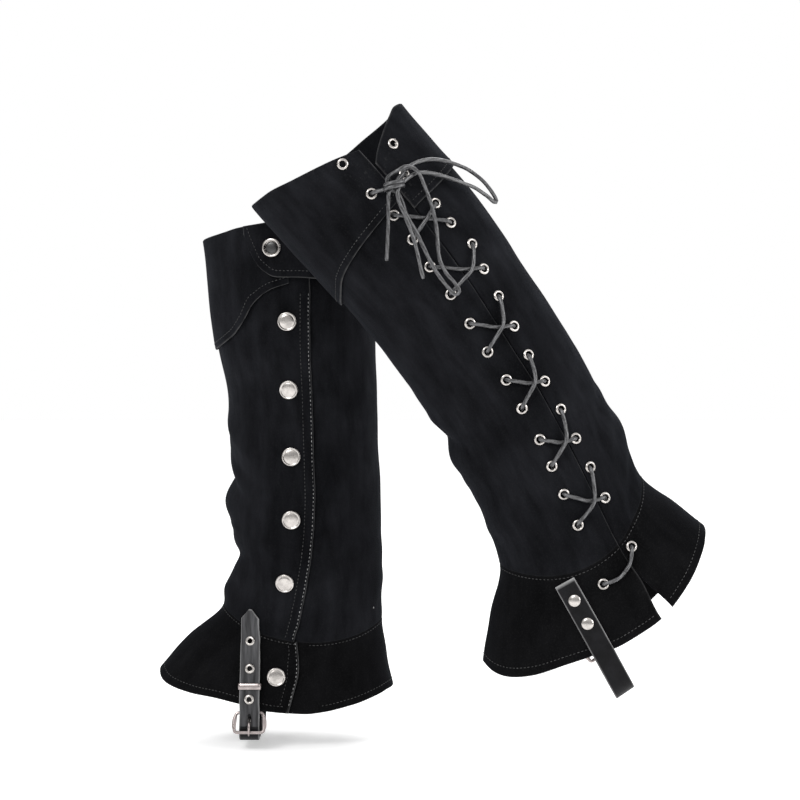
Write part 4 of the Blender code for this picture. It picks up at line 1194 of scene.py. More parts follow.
# %% Walls from grids
def wall_faces(keep):
    """Faces of a closed wall between two equal grids, of the cells that are kept."""
    rows, columns = keep.shape[0] + 1, keep.shape[1] + 1
    ids = np.arange(rows * columns).reshape(rows, columns)
    below = rows * columns
    a, b, c, d = ids[:-1, :-1], ids[:-1, 1:], ids[1:, 1:], ids[1:, :-1]
    faces = [np.stack((a, b, c, d), -1)[keep], np.stack((d, c, b, a), -1)[keep] + below]
    around = np.pad(keep, 1)
    for down, right, start, end in ((-1, 0, a, b), (0, 1, b, c), (1, 0, c, d), (0, -1, d, a)):
        neighbour = around[1 + down:rows + down, 1 + right:columns + right]
        rim = keep & ~neighbour
        faces.append(np.stack((end[rim], start[rim], start[rim] + below, end[rim] + below), -1))
    return np.concatenate(faces)


def six_volumes(points, faces):
    """Signed measure of a closed skin: positive where its faces point outwards."""
    corners = points[faces]
    first = np.einsum("ij,ij->i", corners[:, 0], np.cross(corners[:, 1], corners[:, 2])).sum()
    return first + np.einsum("ij,ij->i", corners[:, 0], np.cross(corners[:, 2], corners[:, 3])).sum()


def add_wall(name, inner, outer, keep, marks, u, v, material):
    """Piece made of two grids of points in metres, its named marks and its map."""
    faces = wall_faces(keep)
    points = np.concatenate((outer.reshape(-1, 3), inner.reshape(-1, 3)))
    if six_volumes(points, faces) < 0:
        faces = faces[:, ::-1]
    used, faces = np.unique(faces, return_inverse=True)
    thing = add_mesh(name, points[used], faces.reshape(-1, 4).tolist(), material)
    for label, values in marks.items():
        layer = thing.data.attributes.new(label, "FLOAT", "POINT")
        layer.data.foreach_set("value", np.tile(values.ravel(), 2)[used])
    add_map(thing, np.tile(u.ravel(), 2)[used], np.tile(v.ravel(), 2)[used])
    return thing


def cloth_area(thing):
    """Area of the cloth: half of its closed skin."""
    return sum(face.area for face in thing.data.polygons) / 2


def grid_span(points):
    """Longest row and longest column of a grid of points: the rectangle that it is cut from."""
    rows = np.linalg.norm(np.diff(points, axis=1), axis=2).sum(1).max()
    columns = np.linalg.norm(np.diff(points, axis=0), axis=2).sum(0).max()
    return float(rows), float(columns)


# %% Cloth on the sleeve
Raw = namedtuple("Raw", "top bottom first last")


def raw_edge(shape, raw):
    """1 on the rim where it is a bare cut, fading within two lines; 0 where it is folded or hidden."""
    rows, columns = shape
    edge = np.zeros(shape)
    for k, level in enumerate(EDGE_LEVELS):
        edge[k] = np.maximum(edge[k], level * raw.top)
        edge[rows - 1 - k] = np.maximum(edge[rows - 1 - k], level * raw.bottom)
        edge[:, k] = np.maximum(edge[:, k], level * raw.first)
        edge[:, columns - 1 - k] = np.maximum(edge[:, columns - 1 - k], level * raw.last)
    return edge


def sew(cover, name, angle, down, lift, holes, raw, finish=SUEDE):
    """One panel: its wall, holes, map and the size it is cut from, kept in cut_sizes."""
    keep = np.ones((angle.shape[0] - 1, angle.shape[1] - 1), bool)
    for hole_angle, hole_down in holes:
        speed = around_speed(cover, hole_angle, hole_down)
        shift_u, shift_v = punch((angle - hole_angle) * speed, down - hole_down, keep, EYELET_CUT)
        angle = angle + shift_u / speed
        down = down + shift_v
    draw_in = round_off(angle.shape)
    inner = place(cover, lay(cover, angle, down, lift + draw_in * INNER_ROUND_OFF))
    outer = place(cover, lay(cover, angle, down, lift + WALL - draw_in))
    u = np.radians(angle) * FOLD_RADIUS / DECIMETRE
    node = f"{cover.name}_{name}"
    marks = {"edge": raw_edge(angle.shape, raw)}
    piece = add_wall(f"{node}_suede", inner, outer, keep, marks, u, down / DECIMETRE, finish)
    ride(piece, "suede", node)
    width, length = grid_span((inner + outer) / 2)
    area = min(cloth_area(piece), width * length)
    cut_sizes[node] = (width, length, area)
    return piece


cut_sizes = {}


# %% [markdown]
# A cover's four leg and spat panels run from the outer slit round to the inner side, where the front
# panel laps over the back one and the snaps close it. A cuff piece has its own outline instead, a
# table of its top and bottom edge at a few angles.

# %% Leg and spat panels
def leg_top(angle):
    """The leg reaches up under the cuffs, less so beside the slit, where the lace passes."""
    from_slit = np.abs(angle - SLIT[0][1])
    return LEG_TOP - LEG_RISE * smooth_step((from_slit - LEG_RISE_FROM) / LEG_RISE_OVER)


def leg_bottom(angle):
    return np.full(np.shape(angle), ANKLE + SEAM_CLOSES)


def spat_top(angle):
    return np.full(np.shape(angle), ANKLE - SEAM_CLOSES)


def hem(angle):
    """Distance down of the hem: it rises at the sides, the same on both."""
    return along(HEM, np.abs((angle + 180) % 360 - 180))


def slit_angle(cover, down, gap_side):
    """Edge of a panel at the outer slit: -1 is the front panel's edge, 1 the back panel's."""
    edge = stepped(cover, along(SLIT, down), down, gap_side * SLIT_HALF_GAP)
    return edge + gap_side * SPAT_SPREAD * smooth_step((down - SPAT_SPLIT) / (HEM_ROW - SPAT_SPLIT))


def front_panel_lift(edges, angle, down):
    """The front panels rise over the back ones near their inner edge."""
    rise = LAYER * smooth_step((LAP_BEGINS - angle + along(edges, down)) / LAP_RISE)
    return np.where(angle > 0, 0.0, rise)


def back_panel_lift(edges, angle, down):
    return np.zeros(angle.shape)


def front_ends(cover, edges, down):
    return slit_angle(cover, down, -1), along(edges, down)


def back_ends(cover, edges, down):
    return slit_angle(cover, down, 1), 360 + stepped(cover, along(edges, down), down, UNDERLAP)


def panel(cover, name, edges, span, ends, lift, holes, raw, finish=SUEDE):
    """Cloth from the outer slit round to the inner placket, between its top and bottom edges."""
    top, bottom = span
    high, low = float(top(0.0)), float(bottom(0.0))
    middle = (high + low) / 2
    first, last = ends(cover, edges, middle)
    around_mm = abs(float(last - first)) * FOLD_RADIUS * math.radians(1)
    rows = rim_shares(low - high)[:, None]
    columns = rim_shares(around_mm)[None]
    first, last = ends(cover, edges, high + (low - high) * rows)
    angle = first + (last - first) * columns
    down = top(angle) + (bottom(angle) - top(angle)) * rows
    return sew(cover, name, angle, down, lift(edges, angle, down), holes, raw, finish)


def eyelet_places(cover, column, rows):
    return [eyelet_place(cover, row, column) for row in rows]


LEG_EYELETS = range(CUFF_EYELETS, SPAT_EYELET)
Half = namedtuple("Half", "name column ends lift lap_edge slit_edge")
HALVES = (
    Half("front", -1, front_ends, front_panel_lift, 1.0, 0.55),
    Half("back", 1, back_ends, back_panel_lift, 0.0, 0.0),
)
for cover in COVERS:
    for name, column, ends, lift, lap_edge, slit_edge in HALVES:
        panel(
            cover, f"leg_{name}", PLACKET, (leg_top, leg_bottom), ends, lift,
            eyelet_places(cover, column, LEG_EYELETS), Raw(0, 0.12, slit_edge, lap_edge))
        panel(
            # the spat panels take the suede with painted shade
            cover, f"spat_{name}", SPAT_PLACKET, (spat_top, hem), ends, lift,
            eyelet_places(cover, column, [SPAT_EYELET]), Raw(0.12, 0.4, slit_edge, lap_edge),
            PAINTED_SHADE_SPAT_SUEDE)
for node, sizes in cut_sizes.items():
    print(node, "is cut", [round(size, 3) for size in sizes])


# %% Cuffs
def cuff(cover, name, edges, lift, holes, raw):
    table = np.array(edges)
    order = table[table[:, 0].argsort()]
    around_mm = abs(table[-1, 0] - table[0, 0]) * FOLD_RADIUS * math.radians(1)
    columns = rim_shares(around_mm)[None]
    rows = rim_shares(float((table[:, 2] - table[:, 1]).mean()))[:, None]
    angle = table[0, 0] + (table[-1, 0] - table[0, 0]) * columns + rows * 0
    top = along(order[:, [0, 1]], angle)
    bottom = along(order[:, [0, 2]], angle)
    down = top + (bottom - top) * rows
    return sew(cover, name, angle, down, lift(angle, down), holes, raw)


for cover in COVERS:
    cuff(
        cover, "cuff_front", FRONT_CUFF, front_cuff_lift,
        eyelet_places(cover, -1, range(CUFF_EYELETS)), Raw(0.15, 1, 1, 0.2))
    cuff(
        cover, "cuff_back", BACK_CUFF, back_cuff_lift,
        eyelet_places(cover, 1, range(CUFF_EYELETS)), Raw(0.5, 1, 1, 0.8))
print(len(cut_sizes), "pieces of suede are cut")

# %% [markdown]
# ## Eyelets, snaps and rivets
#
# A maker punches the same small metal part many times over, so the mesh is turned once, like a part on
# a lathe, and a Geometry Nodes tree sets a copy at each place. The places are loose points that carry
# two directions: out of the cloth, and along it. The tree turns each copy to both, gives each snap its
# own small turn and tip from a fixed seed, makes the copies real and hands them their metal.

# %% Parts turned on a lathe
def turned_part(name, profile, sides, material):
    """Round part: its profile is a closed loop, or runs from the axis back to the axis, in millimetres."""
    on_axis = profile[0][0] == 0
    rim = np.array(profile[1:-1] if on_axis else profile, float) * MM
    turns = np.arange(sides) * 2 * math.pi / sides
    rings = np.stack((
        rim[:, :1] * np.cos(turns), rim[:, :1] * np.sin(turns), rim[:, 1:] + 0 * turns[None]), -1)
    ids = np.arange(len(rim) * sides).reshape(len(rim), sides)
    below = ids[1:] if on_axis else np.roll(ids, -1, 0)
    here = ids[:-1] if on_axis else ids
    corners = (here, below, np.roll(below, -1, 1), np.roll(here, -1, 1))
    faces = np.stack(corners, -1).reshape(-1, 4).tolist()
    points = rings.reshape(-1, 3)
    if on_axis:
        top, bottom = len(points), len(points) + 1
        points = np.concatenate((points, ((0, 0, profile[0][1] * MM), (0, 0, profile[-1][1] * MM))))
        for i in range(sides):
            j = (i + 1) % sides
            faces.append((top, ids[0, i], ids[0, j]))
            faces.append((bottom, ids[-1, j], ids[-1, i]))
    return add_mesh(name, points, faces, material)


EYELET = 10.0
EYELET_BORE = 5.4
SNAP = 17.0
RIVET = 10.5
STRAP_EYELET = 9.4
STRAP_BORE = 4.2


def eyelet_profile(outside, bore, wall):
    """Rolled flange on the face of the cloth, a barrel through it, and a flatter flange behind."""
    r, s = outside / 2, bore / 2
    return (
        (s, -wall), (s + 0.03, 0.55), (s + 0.25, 1.05), (s + 0.7, 1.35), (s + 1.2, 1.30),
        (r - 0.45, 0.80), (r, 0.06), (r - 0.3, 0.03), (s + 0.45, 0.0), (s + 0.45, -wall),
        (r - 0.5, -wall - 0.03), (r - 0.45, -wall - 0.3),
        (s + 0.7, -wall - 0.6), (s + 0.15, -wall - 0.4))


def snap_profile(diameter):
    """Low dome with a groove round it, inside a rolled rim."""
    r = diameter / 2
    return (
        (0, 2.10), (r * 0.30, 2.04), (r * 0.55, 1.84), (r * 0.70, 1.58), (r * 0.76, 1.30), (r * 0.79, 1.30),
        (r * 0.84, 1.78), (r * 0.90, 1.95), (r * 0.96, 1.66), (r, 0.95), (r * 0.985, 0.30), (r * 0.95, 0.0),
        (0, 0.0))


def ring_snap_profile(diameter):
    """The cuff's snap: a rolled ring round a sunken middle."""
    r = diameter / 2
    return (
        (0, 0.50), (r * 0.66, 0.50), (r * 0.72, 1.30), (r * 0.78, 1.95), (r * 0.86, 2.20), (r * 0.94, 1.90),
        (r, 1.10), (r * 0.95, 0.0), (0, 0.0))


def socket_profile(diameter):
    """Dark dome that sits in the middle of the ring."""
    r = diameter / 2
    return ((0, 1.55), (r * 0.30, 1.45), (r * 0.52, 1.10), (r * 0.64, 0.60), (r * 0.64, 0.52), (0, 0.52))


def rivet_profile(diameter):
    r = diameter / 2
    return (
        (0, 1.75), (r * 0.40, 1.68), (r * 0.72, 1.35), (r * 0.92, 0.80), (r, 0.30), (r * 0.97, 0.0),
        (0, 0.0))


# %% [markdown]
# The tree below has three named sizes: how large the copies are, how far each one may turn about its
# own axis, and how far it may tip. Aligning a copy takes two steps, because one direction alone leaves it
# free to spin: the first points its Z out of the cloth, the second spins it until its X runs along.

# %% Geometry Nodes: a part at each point
def new_tree(name, sizes):
    """Node group with a mesh in, a mesh out and named sizes: (label, socket type, value)."""
    tree = bpy.data.node_groups.new(name, "GeometryNodeTree")
    tree.interface.new_socket("Geometry", in_out="INPUT", socket_type="NodeSocketGeometry")
    for label, kind, value in sizes:
        socket = tree.interface.new_socket(label, in_out="INPUT", socket_type=kind)
        if value is not None:
            socket.default_value = value
    tree.interface.new_socket("Geometry", in_out="OUTPUT", socket_type="NodeSocketGeometry")
    return tree, tree.nodes.new("NodeGroupInput"), tree.nodes.new("NodeGroupOutput")


def tree_node(tree, kind, inputs=None, **settings):
    """Node with its settings, and its inputs set to values or joined to other sockets."""
    node = tree.nodes.new(kind)
    for setting, value in settings.items():
        setattr(node, setting, value)
    for label, value in (inputs or {}).items():
        socket = node.inputs[label]
        if isinstance(value, bpy.types.NodeSocket):
            tree.links.new(value, socket)
        else:
            socket.default_value = value
    return node


def named_direction(tree, name):
    node = tree_node(tree, "GeometryNodeInputNamedAttribute", {"Name": name}, data_type="FLOAT_VECTOR")
    return node.outputs[0]


def turned_to(tree, first_axis, first, second_axis, second):
    """Rotation that points one axis one way, then spins about it until another points the other way."""
    aim = tree_node(tree, "FunctionNodeAlignRotationToVector", {"Vector": first}, axis=first_axis)
    spin = tree_node(
        tree, "FunctionNodeAlignRotationToVector",
        {"Rotation": aim.outputs[0], "Vector": second}, axis=second_axis, pivot_axis=first_axis)
    return spin.outputs[0]


def finish_tree(tree, instances, material, output):
    real = tree_node(tree, "GeometryNodeRealizeInstances", {"Geometry": instances})
    coloured = tree_node(
        tree, "GeometryNodeSetMaterial", {"Geometry": real.outputs[0], "Material": material})
    tree.links.new(coloured.outputs[0], output.inputs["Geometry"])


def set_in_place_tree():
    tree, given, output = new_tree("set_in_place", (
        ("Part", "NodeSocketObject", None),
        ("Size", "NodeSocketFloat", 1.0),
        ("Spin", "NodeSocketFloat", 0.0),
        ("Tip", "NodeSocketFloat", 0.0),
        ("Metal", "NodeSocketMaterial", None),
    ))
    part = tree_node(tree, "GeometryNodeObjectInfo", {"Object": given.outputs["Part"]})
    seat = turned_to(tree, "Z", named_direction(tree, "out"), "X", named_direction(tree, "onward"))
    limits = tree_node(tree, "ShaderNodeCombineXYZ", {
        "X": given.outputs["Tip"], "Y": given.outputs["Tip"], "Z": given.outputs["Spin"]})
    least = tree_node(
        tree, "ShaderNodeVectorMath", {0: limits.outputs[0], 1: (-1, -1, -1)}, operation="MULTIPLY")
    random = tree_node(
        tree, "FunctionNodeRandomValue", {"Min": least.outputs[0], "Max": limits.outputs[0], "Seed": 7},
        data_type="FLOAT_VECTOR")
    own_turn = tree_node(tree, "FunctionNodeEulerToRotation", {"Euler": random.outputs[0]})
    rotation = tree_node(
        tree, "FunctionNodeRotateRotation", {"Rotation": seat, "Rotate By": own_turn.outputs[0]},
        rotation_space="LOCAL")
    copies = tree_node(tree, "GeometryNodeInstanceOnPoints", {
        "Points": given.outputs["Geometry"], "Instance": part.outputs["Geometry"],
        "Rotation": rotation.outputs[0], "Scale": given.outputs["Size"]})
    finish_tree(tree, copies.outputs[0], given.outputs["Metal"], output)
    return tree


def grow(tree, host, inputs):
    """Runs a tree on a piece and keeps the result as its plain mesh."""
    modifier = host.modifiers.new(tree.name, "NODES")
    modifier.node_group = tree
    for item in tree.interface.items_tree:
        if item.item_type == "SOCKET" and item.in_out == "INPUT" and item.name in inputs:
            modifier[item.identifier] = inputs[item.name]
    depsgraph = bpy.context.evaluated_depsgraph_get()
    result = bpy.data.meshes.new_from_object(host.evaluated_get(depsgraph), depsgraph=depsgraph)
    result.name = host.name
    host.modifiers.clear()
    host.data = result
    host.data.shade_smooth()
    return host


def guide(name, points, directions, edges=()):
    """Loose points, or lines of points, that carry named directions for a tree."""
    mesh = bpy.data.meshes.new(name)
    mesh.from_pydata([tuple(point) for point in points], list(edges), [])
    for label, vectors in directions.items():
        layer = mesh.attributes.new(label, "FLOAT_VECTOR", "POINT")
        layer.data.foreach_set("vector", np.asarray(vectors, np.float32).ravel())
    thing = bpy.data.objects.new(name, mesh)
    bpy.context.scene.collection.objects.link(thing)
    return thing


SET_IN_PLACE = set_in_place_tree()


def set_parts(name, part, spots, metal, spin=0.0, tip=0.0):
    """Copies of a turned part at spots: rows of (place, direction out, direction along)."""
    origins, outs, onwards = (np.array(column) for column in zip(*spots))
    host = guide(name, origins, {"out": outs, "onward": onwards})
    return grow(SET_IN_PLACE, host, {"Part": part, "Spin": spin, "Tip": tip, "Metal": metal})


def spot(cover, angle, down, lift):
    """Place, direction out and direction down the leg of a part that sits on the cloth."""
    base = lay(cover, angle, down, lift)
    out = lay(cover, angle, down, lift + 1.0) - base
    onward = lay(cover, angle, down + 1.0, lift) - base
    return place(cover, base), unit(turned_points(cover, out)), unit(turned_points(cover, onward))


# %% Eyelets in the cloth
EYELET_SIDES = 22
EYELET_STANDS = 0.05
SPIN = 3.0
EYELET_TIP = 0.06
eyelet_part = turned_part("eyelet", eyelet_profile(EYELET, EYELET_BORE, WALL), EYELET_SIDES, NICKEL)
for cover in COVERS:
    spots = []
    for row in range(len(EYELETS)):
        for column in (-1, 1):
            angle, down = eyelet_place(cover, row, column)
            lift = wall_lift(row, angle, down) + WALL + EYELET_STANDS
            spots.append(spot(cover, angle, down, lift))
    piece = set_parts(f"{cover.name}_eyelets", eyelet_part, spots, NICKEL, spin=SPIN, tip=EYELET_TIP)
    ride(piece, "nickel")
    print(piece.name, len(spots), "eyelets,", len(piece.data.polygons), "faces")
bpy.data.objects.remove(eyelet_part)

# %% Snaps down the inner side
SNAP_SIDES = 36
SNAP_FROM_EDGE = 19.5
SPAT_SNAP_FROM_EDGE = 16.5
TAB_SNAP_ANGLE = -81.0
TAB_SNAP_DOWN = 22.0
LEG_SNAP_DOWNS = (84.0, 148.0, 207.0, 262.0, 318.0)
SPAT_SNAP_DOWN = 405.0
SNAP_STANDS = 0.25
SNAP_TIP = 0.09


def snap_spots(cover):
    rows = [(PLACKET, down, SNAP_FROM_EDGE) for down in LEG_SNAP_DOWNS]
    rows.append((SPAT_PLACKET, SPAT_SNAP_DOWN, SPAT_SNAP_FROM_EDGE))
    spots = []
    for edges, down, from_edge in rows:
        angle = float(stepped(cover, along(edges, down), down, from_edge))
        spots.append(spot(cover, angle, down, LAYER + WALL + SNAP_STANDS))
    return spots


snap_part = turned_part("snap", snap_profile(SNAP), SNAP_SIDES, NICKEL)
ring_part = turned_part("ring_snap", ring_snap_profile(SNAP), SNAP_SIDES, NICKEL)
socket_part = turned_part("snap_socket", socket_profile(SNAP), SNAP_SIDES, DARK_SOCKET)
for cover in COVERS:
    name = cover.name
    piece = set_parts(f"{name}_snaps", snap_part, snap_spots(cover), NICKEL, spin=SPIN, tip=SNAP_TIP)
    ride(piece, "nickel", *(f"{name}_snap_{number}" for number in range(2, 8)))
    tab_lift = float(back_cuff_lift(360 + TAB_SNAP_ANGLE, TAB_SNAP_DOWN)) + WALL + SNAP_STANDS
    tab_spot = spot(cover, TAB_SNAP_ANGLE, TAB_SNAP_DOWN, tab_lift)
    piece = set_parts(f"{name}_cuff_snap", ring_part, [tab_spot], NICKEL)
    ride(piece, "nickel", f"{name}_snap_1")
    ride(set_parts(f"{name}_cuff_snap_socket", socket_part, [tab_spot], DARK_SOCKET), "nickel")
    print(name, "cover has seven snaps")
for part in (snap_part, ring_part, socket_part):
    bpy.data.objects.remove(part)

# %% [markdown]
# ## Stitches
#
# Thread shows as a row of short dashes that dip into the leather at each end. A second tree makes
# them: it takes a line drawn on the cloth, marks it off at the length of a stitch, and lays a small
# rounded bead at each mark, turned along the line and sunk a little into the suede. Each bead has few
# faces, since there are hundreds. The pale rows run down the placket's edge, where they show most in
# the photograph, and dark ones follow the hems, the cuffs and the seam at the ankle.

# %% Geometry Nodes: a row of stitches
def stitch_tree():
    tree, given, output = new_tree("stitches", (
        ("Pitch", "NodeSocketFloat", 0.0034),
        ("Length", "NodeSocketFloat", 0.0022),
        ("Width", "NodeSocketFloat", 0.0007),
        ("Thread", "NodeSocketMaterial", None),
    ))
    line = tree_node(tree, "GeometryNodeMeshToCurve", {"Mesh": given.outputs["Geometry"]})
    marks = tree_node(
        tree, "GeometryNodeResampleCurve",
        {"Curve": line.outputs[0], "Length": given.outputs["Pitch"]}, mode="LENGTH")
    tangent = tree_node(tree, "GeometryNodeInputTangent")
    rotation = turned_to(tree, "X", tangent.outputs[0], "Z", named_direction(tree, "out"))
    bead = tree_node(tree, "GeometryNodeMeshUVSphere", {"Segments": 6, "Rings": 4, "Radius": 0.5})
    vary = tree_node(tree, "FunctionNodeRandomValue", {2: 0.8, 3: 1.15, "Seed": 3}, data_type="FLOAT")
    length = tree_node(
        tree, "ShaderNodeMath", {0: given.outputs["Length"], 1: vary.outputs[1]}, operation="MULTIPLY")
    scale = tree_node(tree, "ShaderNodeCombineXYZ", {
        "X": length.outputs[0], "Y": given.outputs["Width"], "Z": given.outputs["Width"]})
    copies = tree_node(tree, "GeometryNodeInstanceOnPoints", {
        "Points": marks.outputs[0], "Instance": bead.outputs["Mesh"], "Rotation": rotation,
        "Scale": scale.outputs[0]})
    finish_tree(tree, copies.outputs[0], given.outputs["Thread"], output)
    return tree


STITCHES = stitch_tree()
Line = namedtuple("Line", "angle down lift")
LINE_STEP = 3.0
LEVEL_POINTS = 180
CUFF_POINTS = 170
CUFF_SKIP = 3.0


def stitch_rows(cover, name, rows, thread, pitch=3.4, length=2.3, width=0.72):
    """One piece of stitches along several lines on the sleeve."""
    points, outs, edges = [], [], []
    for row in rows:
        start = sum(len(part) for part in points)
        base = lay(cover, row.angle, row.down, row.lift)
        points.append(place(cover, base))
        outs.append(unit(turned_points(cover, skin_normal(cover, row.angle, row.down))))
        edges += [(start + k, start + k + 1) for k in range(len(row.angle) - 1)]
    host = guide(f"{cover.name}_{name}", np.concatenate(points), {"out": np.concatenate(outs)}, edges)
    piece = grow(STITCHES, host, {
        "Pitch": pitch * MM, "Length": length * MM, "Width": width * MM, "Thread": thread})
    ride(piece, "suede")
    print(piece.name, len(piece.data.polygons), "faces")
    return piece


def placket_row(cover, edges, top, bottom, inside):
    """Line beside the front panels' inner edge."""
    down = np.arange(top, bottom, LINE_STEP)
    angle = stepped(cover, along(edges, down), down, inside)
    return Line(angle, down, front_panel_lift(edges, angle, down) + WALL)


def level_row(cover, edges, ends, height, first, last, lift):
    """Line round the sleeve, at a distance down that may change with the angle."""
    middle = float(height(180.0))
    start, stop = (float(end) for end in ends(cover, edges, middle))
    way = np.sign(stop - start)
    angle = np.linspace(start + first * way, stop - last * way, LEVEL_POINTS)
    down = height(angle)
    return Line(angle, down, lift(edges, angle, down) + WALL)


def cuff_row(edges, inside, lift):
    """Line along a cuff's lower edge."""
    table = np.array(edges)
    order = table[table[:, 0].argsort()]
    angle = np.linspace(order[0, 0] + CUFF_SKIP, order[-1, 0] - CUFF_SKIP, CUFF_POINTS)
    down = along(order[:, [0, 2]], angle) - inside
    slope = np.gradient(down, np.radians(angle) * FOLD_RADIUS)
    down = down - inside * (np.hypot(1, slope) - 1)
    return Line(angle, down, lift(angle, down) + WALL)


# %% Pale rows on the placket, dark rows elsewhere
EDGE_INSIDE = 1.7
SECOND_INSIDE = 8.5
HEM_INSIDE = 7.5
CUFF_INSIDE = 5.5
SEAM_INSIDE = 2.2
UNDER_LAP_DEGREES = 26.0
PLACKET_RUNS = ((PLACKET, 62, 363), (SPAT_PLACKET, 367, 438))


def hem_line(angle):
    return hem(angle) - HEM_INSIDE


def seam_line(angle):
    return leg_bottom(angle) + (SEAM_INSIDE + PANEL_SEAM)


LEVEL_LINES = ((hem_line, 3), (seam_line, 2))
for cover in COVERS:
    stitch_rows(cover, "placket_stitches", [
        placket_row(cover, *run, EDGE_INSIDE) for run in PLACKET_RUNS
    ], PALE_THREAD, pitch=3.6, length=2.0, width=0.62)
    stitch_rows(cover, "second_placket_stitches", [
        placket_row(cover, *run, SECOND_INSIDE) for run in PLACKET_RUNS
    ], DARK_THREAD)
    lines = []
    for height, skip in LEVEL_LINES:
        for half in HALVES:
            last = skip if half.name == "front" else UNDER_LAP_DEGREES
            lines.append(level_row(cover, SPAT_PLACKET, half.ends, height, skip, last, half.lift))
    stitch_rows(cover, "hem_stitches", lines, DARK_THREAD)
    stitch_rows(cover, "cuff_stitches", [
        cuff_row(FRONT_CUFF, CUFF_INSIDE, front_cuff_lift),
        cuff_row(BACK_CUFF, CUFF_INSIDE, back_cuff_lift),
    ], DARK_THREAD)

# %% [markdown]
# ## Straps, chape and rivets
#
# A long strap is riveted to the outer side of the spat, passes under the boot's arch and comes up on
# the inner side through the buckle, where its pointed end shows three metal eyelets. A short strap,
# the chape, holds the buckle. A strap is flat leather bent in one direction only, so it is a ribbon:
# stations give the middle of its inner face and the way out, and a grid spans its width. The same
# wall that made the cloth gives it thickness, round rims and real holes.

# %% Sizes of the straps
STRAP_WIDTH = 18.0
STRAP_THICK = 2.0
STRAP_TURN = 12.0
STRAP_LIFT = WALL + 0.8
STRAP_LEAVES = 0.5
STRAP_LEVEL_BELOW = -2.0
STRAP_LEVEL_OVER = 8.0
CHAPE_WIDTH = 16.0
CHAPE_THICK = 1.5
HEEL_BAR = -3.5
LOWER_BAR = -20.5
HEEL_BAR_CENTRE = 1.2
LOWER_BAR_CENTRE = 6.6
BUCKLE_WIRE = 3.0
Station = namedtuple("Station", "height lift")
BILLET = (
    Station(87.5, 0.6),
    Station(61.5, 0.6),
    Station(49.5, 2.4),
    Station(31.5, 3.3),
    Station(18.5, 3.9),
    Station(4, 4.5),
    Station(-3.5, 4.9),
    Station(-16, 3.0),
    Station(-21, 2.7),
)
CHAPE = (
    Station(49.5, 0.4),
    Station(39.5, 0.4),
    Station(28.5, 1.6),
    Station(18.5, 2.2),
    Station(8, 2.5),
    Station(2, 2.8),
    Station(-3.5, 2.95),
)
TIP_TOP = 87.5
TIP_SHOULDER = 79.5
TIP_WIDTH = 1.0
STRAP_HOLES = (58.0, 34.0, 8.0)
PRONG_SLOT = 11.0
PRONG_SLOT_AT = -8.5
OUTER_TOP = 65.0
RIVETS = (48.0, 27.0)
STRAP_STEP = 1.6
TIP_STEPS = (0.0, 0.4, 1.4, 3.5, 5.8)
HALVINGS = 32
BELOW_HEM = 10
NEARLY_IN_FRONT = 0.985
TURN_STEPS = 12
LOOP_STEPS = 9
BORE_MARGIN = 0.5
SLOT_HALF_WIDTH = 1.9
# the chape gets half of the painted sheen
CHAPE_PAINTED_SHEEN = 0.5
OUTER_ROUND_OFF = 0.8


# %% Places on the strap's line
def locate(cover, x, z, side):
    """Angle and distance down of the sleeve's points that are seen at x, z from one side."""
    low = np.zeros(np.shape(x))
    high = np.full(np.shape(x), HEM_ROW + BELOW_HEM)
    for _ in range(HALVINGS):
        down = (low + high) / 2
        row = ring(cover, down)
        middle_x = (row.front_x + row.back_x) / 2
        ratio = (middle_x - x) / ((row.back_x - row.front_x) / 2)
        ratio = np.clip(ratio, -NEARLY_IN_FRONT, NEARLY_IN_FRONT)
        angle = side * np.degrees(np.arccos(signed_power(ratio, row.square / 2)))
        above = skin(cover, angle, down)[..., 2] > z
        low = np.where(above, down, low)
        high = np.where(above, high, down)
    return angle, (low + high) / 2


def hem_height(cover):
    """Height of the hem on the strap's line, in the cover's frame."""
    row = ring(cover, HEM_ROW)
    ratio = ((row.front_x + row.back_x) / 2 - cover.strap_x) / ((row.back_x - row.front_x) / 2)
    angle = float(np.degrees(np.arccos(signed_power(ratio, row.square / 2))))
    return float(skin(cover, angle, hem(angle))[2])


def strap_point(cover, height, side, lift):
    """Points on the strap's line at heights above the hem, lifted from the cloth; and their outward."""
    height = np.atleast_1d(np.asarray(height, float))
    low = hem_height(cover)
    x = cover.strap_x + cover.strap_slope * height
    angle, down = locate(cover, x, low + np.maximum(height, STRAP_LEAVES), side)
    share = smooth_step((height - STRAP_LEVEL_BELOW) / STRAP_LEVEL_OVER)[:, None]
    outward = unit(skin_normal(cover, angle, down) * share + np.array((0, side, 0)) * (1 - share))
    base = np.stack((x, skin(cover, angle, down)[:, 1], low + height), -1)
    return base + outward * np.broadcast_to(lift, height.shape)[:, None], outward


def station_lift(stations, height):
    """Lift from the spat's outer face, on the buckle side, at heights of a table."""
    pairs = np.array(sorted(stations))
    return WALL + LAYER + along(pairs, height)


def billet_point(cover, height, more=0.0):
    return strap_point(cover, height, -1, station_lift(BILLET, np.asarray(height, float)) + more)


def strap_turn(cover, side, y_edge):
    """Quarter turn of the strap under the arch, from one side in to the middle."""
    low = hem_height(cover) - cover.strap_drop
    bend = np.linspace(0, math.pi / 2, TURN_STEPS)
    z = low + STRAP_TURN * (1 - np.sin(bend))
    y = y_edge - side * STRAP_TURN * (1 - np.cos(bend))
    x = cover.strap_x + cover.strap_slope * (z - hem_height(cover))
    flat = np.zeros(bend.shape)
    return np.stack((x, y, z), -1), np.stack((flat, side * np.cos(bend), -np.sin(bend)), -1)


def downward(top, bottom):
    """Heights from the top to the bottom, a strap step apart."""
    return np.linspace(top, bottom, max(2, round((top - bottom) / STRAP_STEP) + 1))


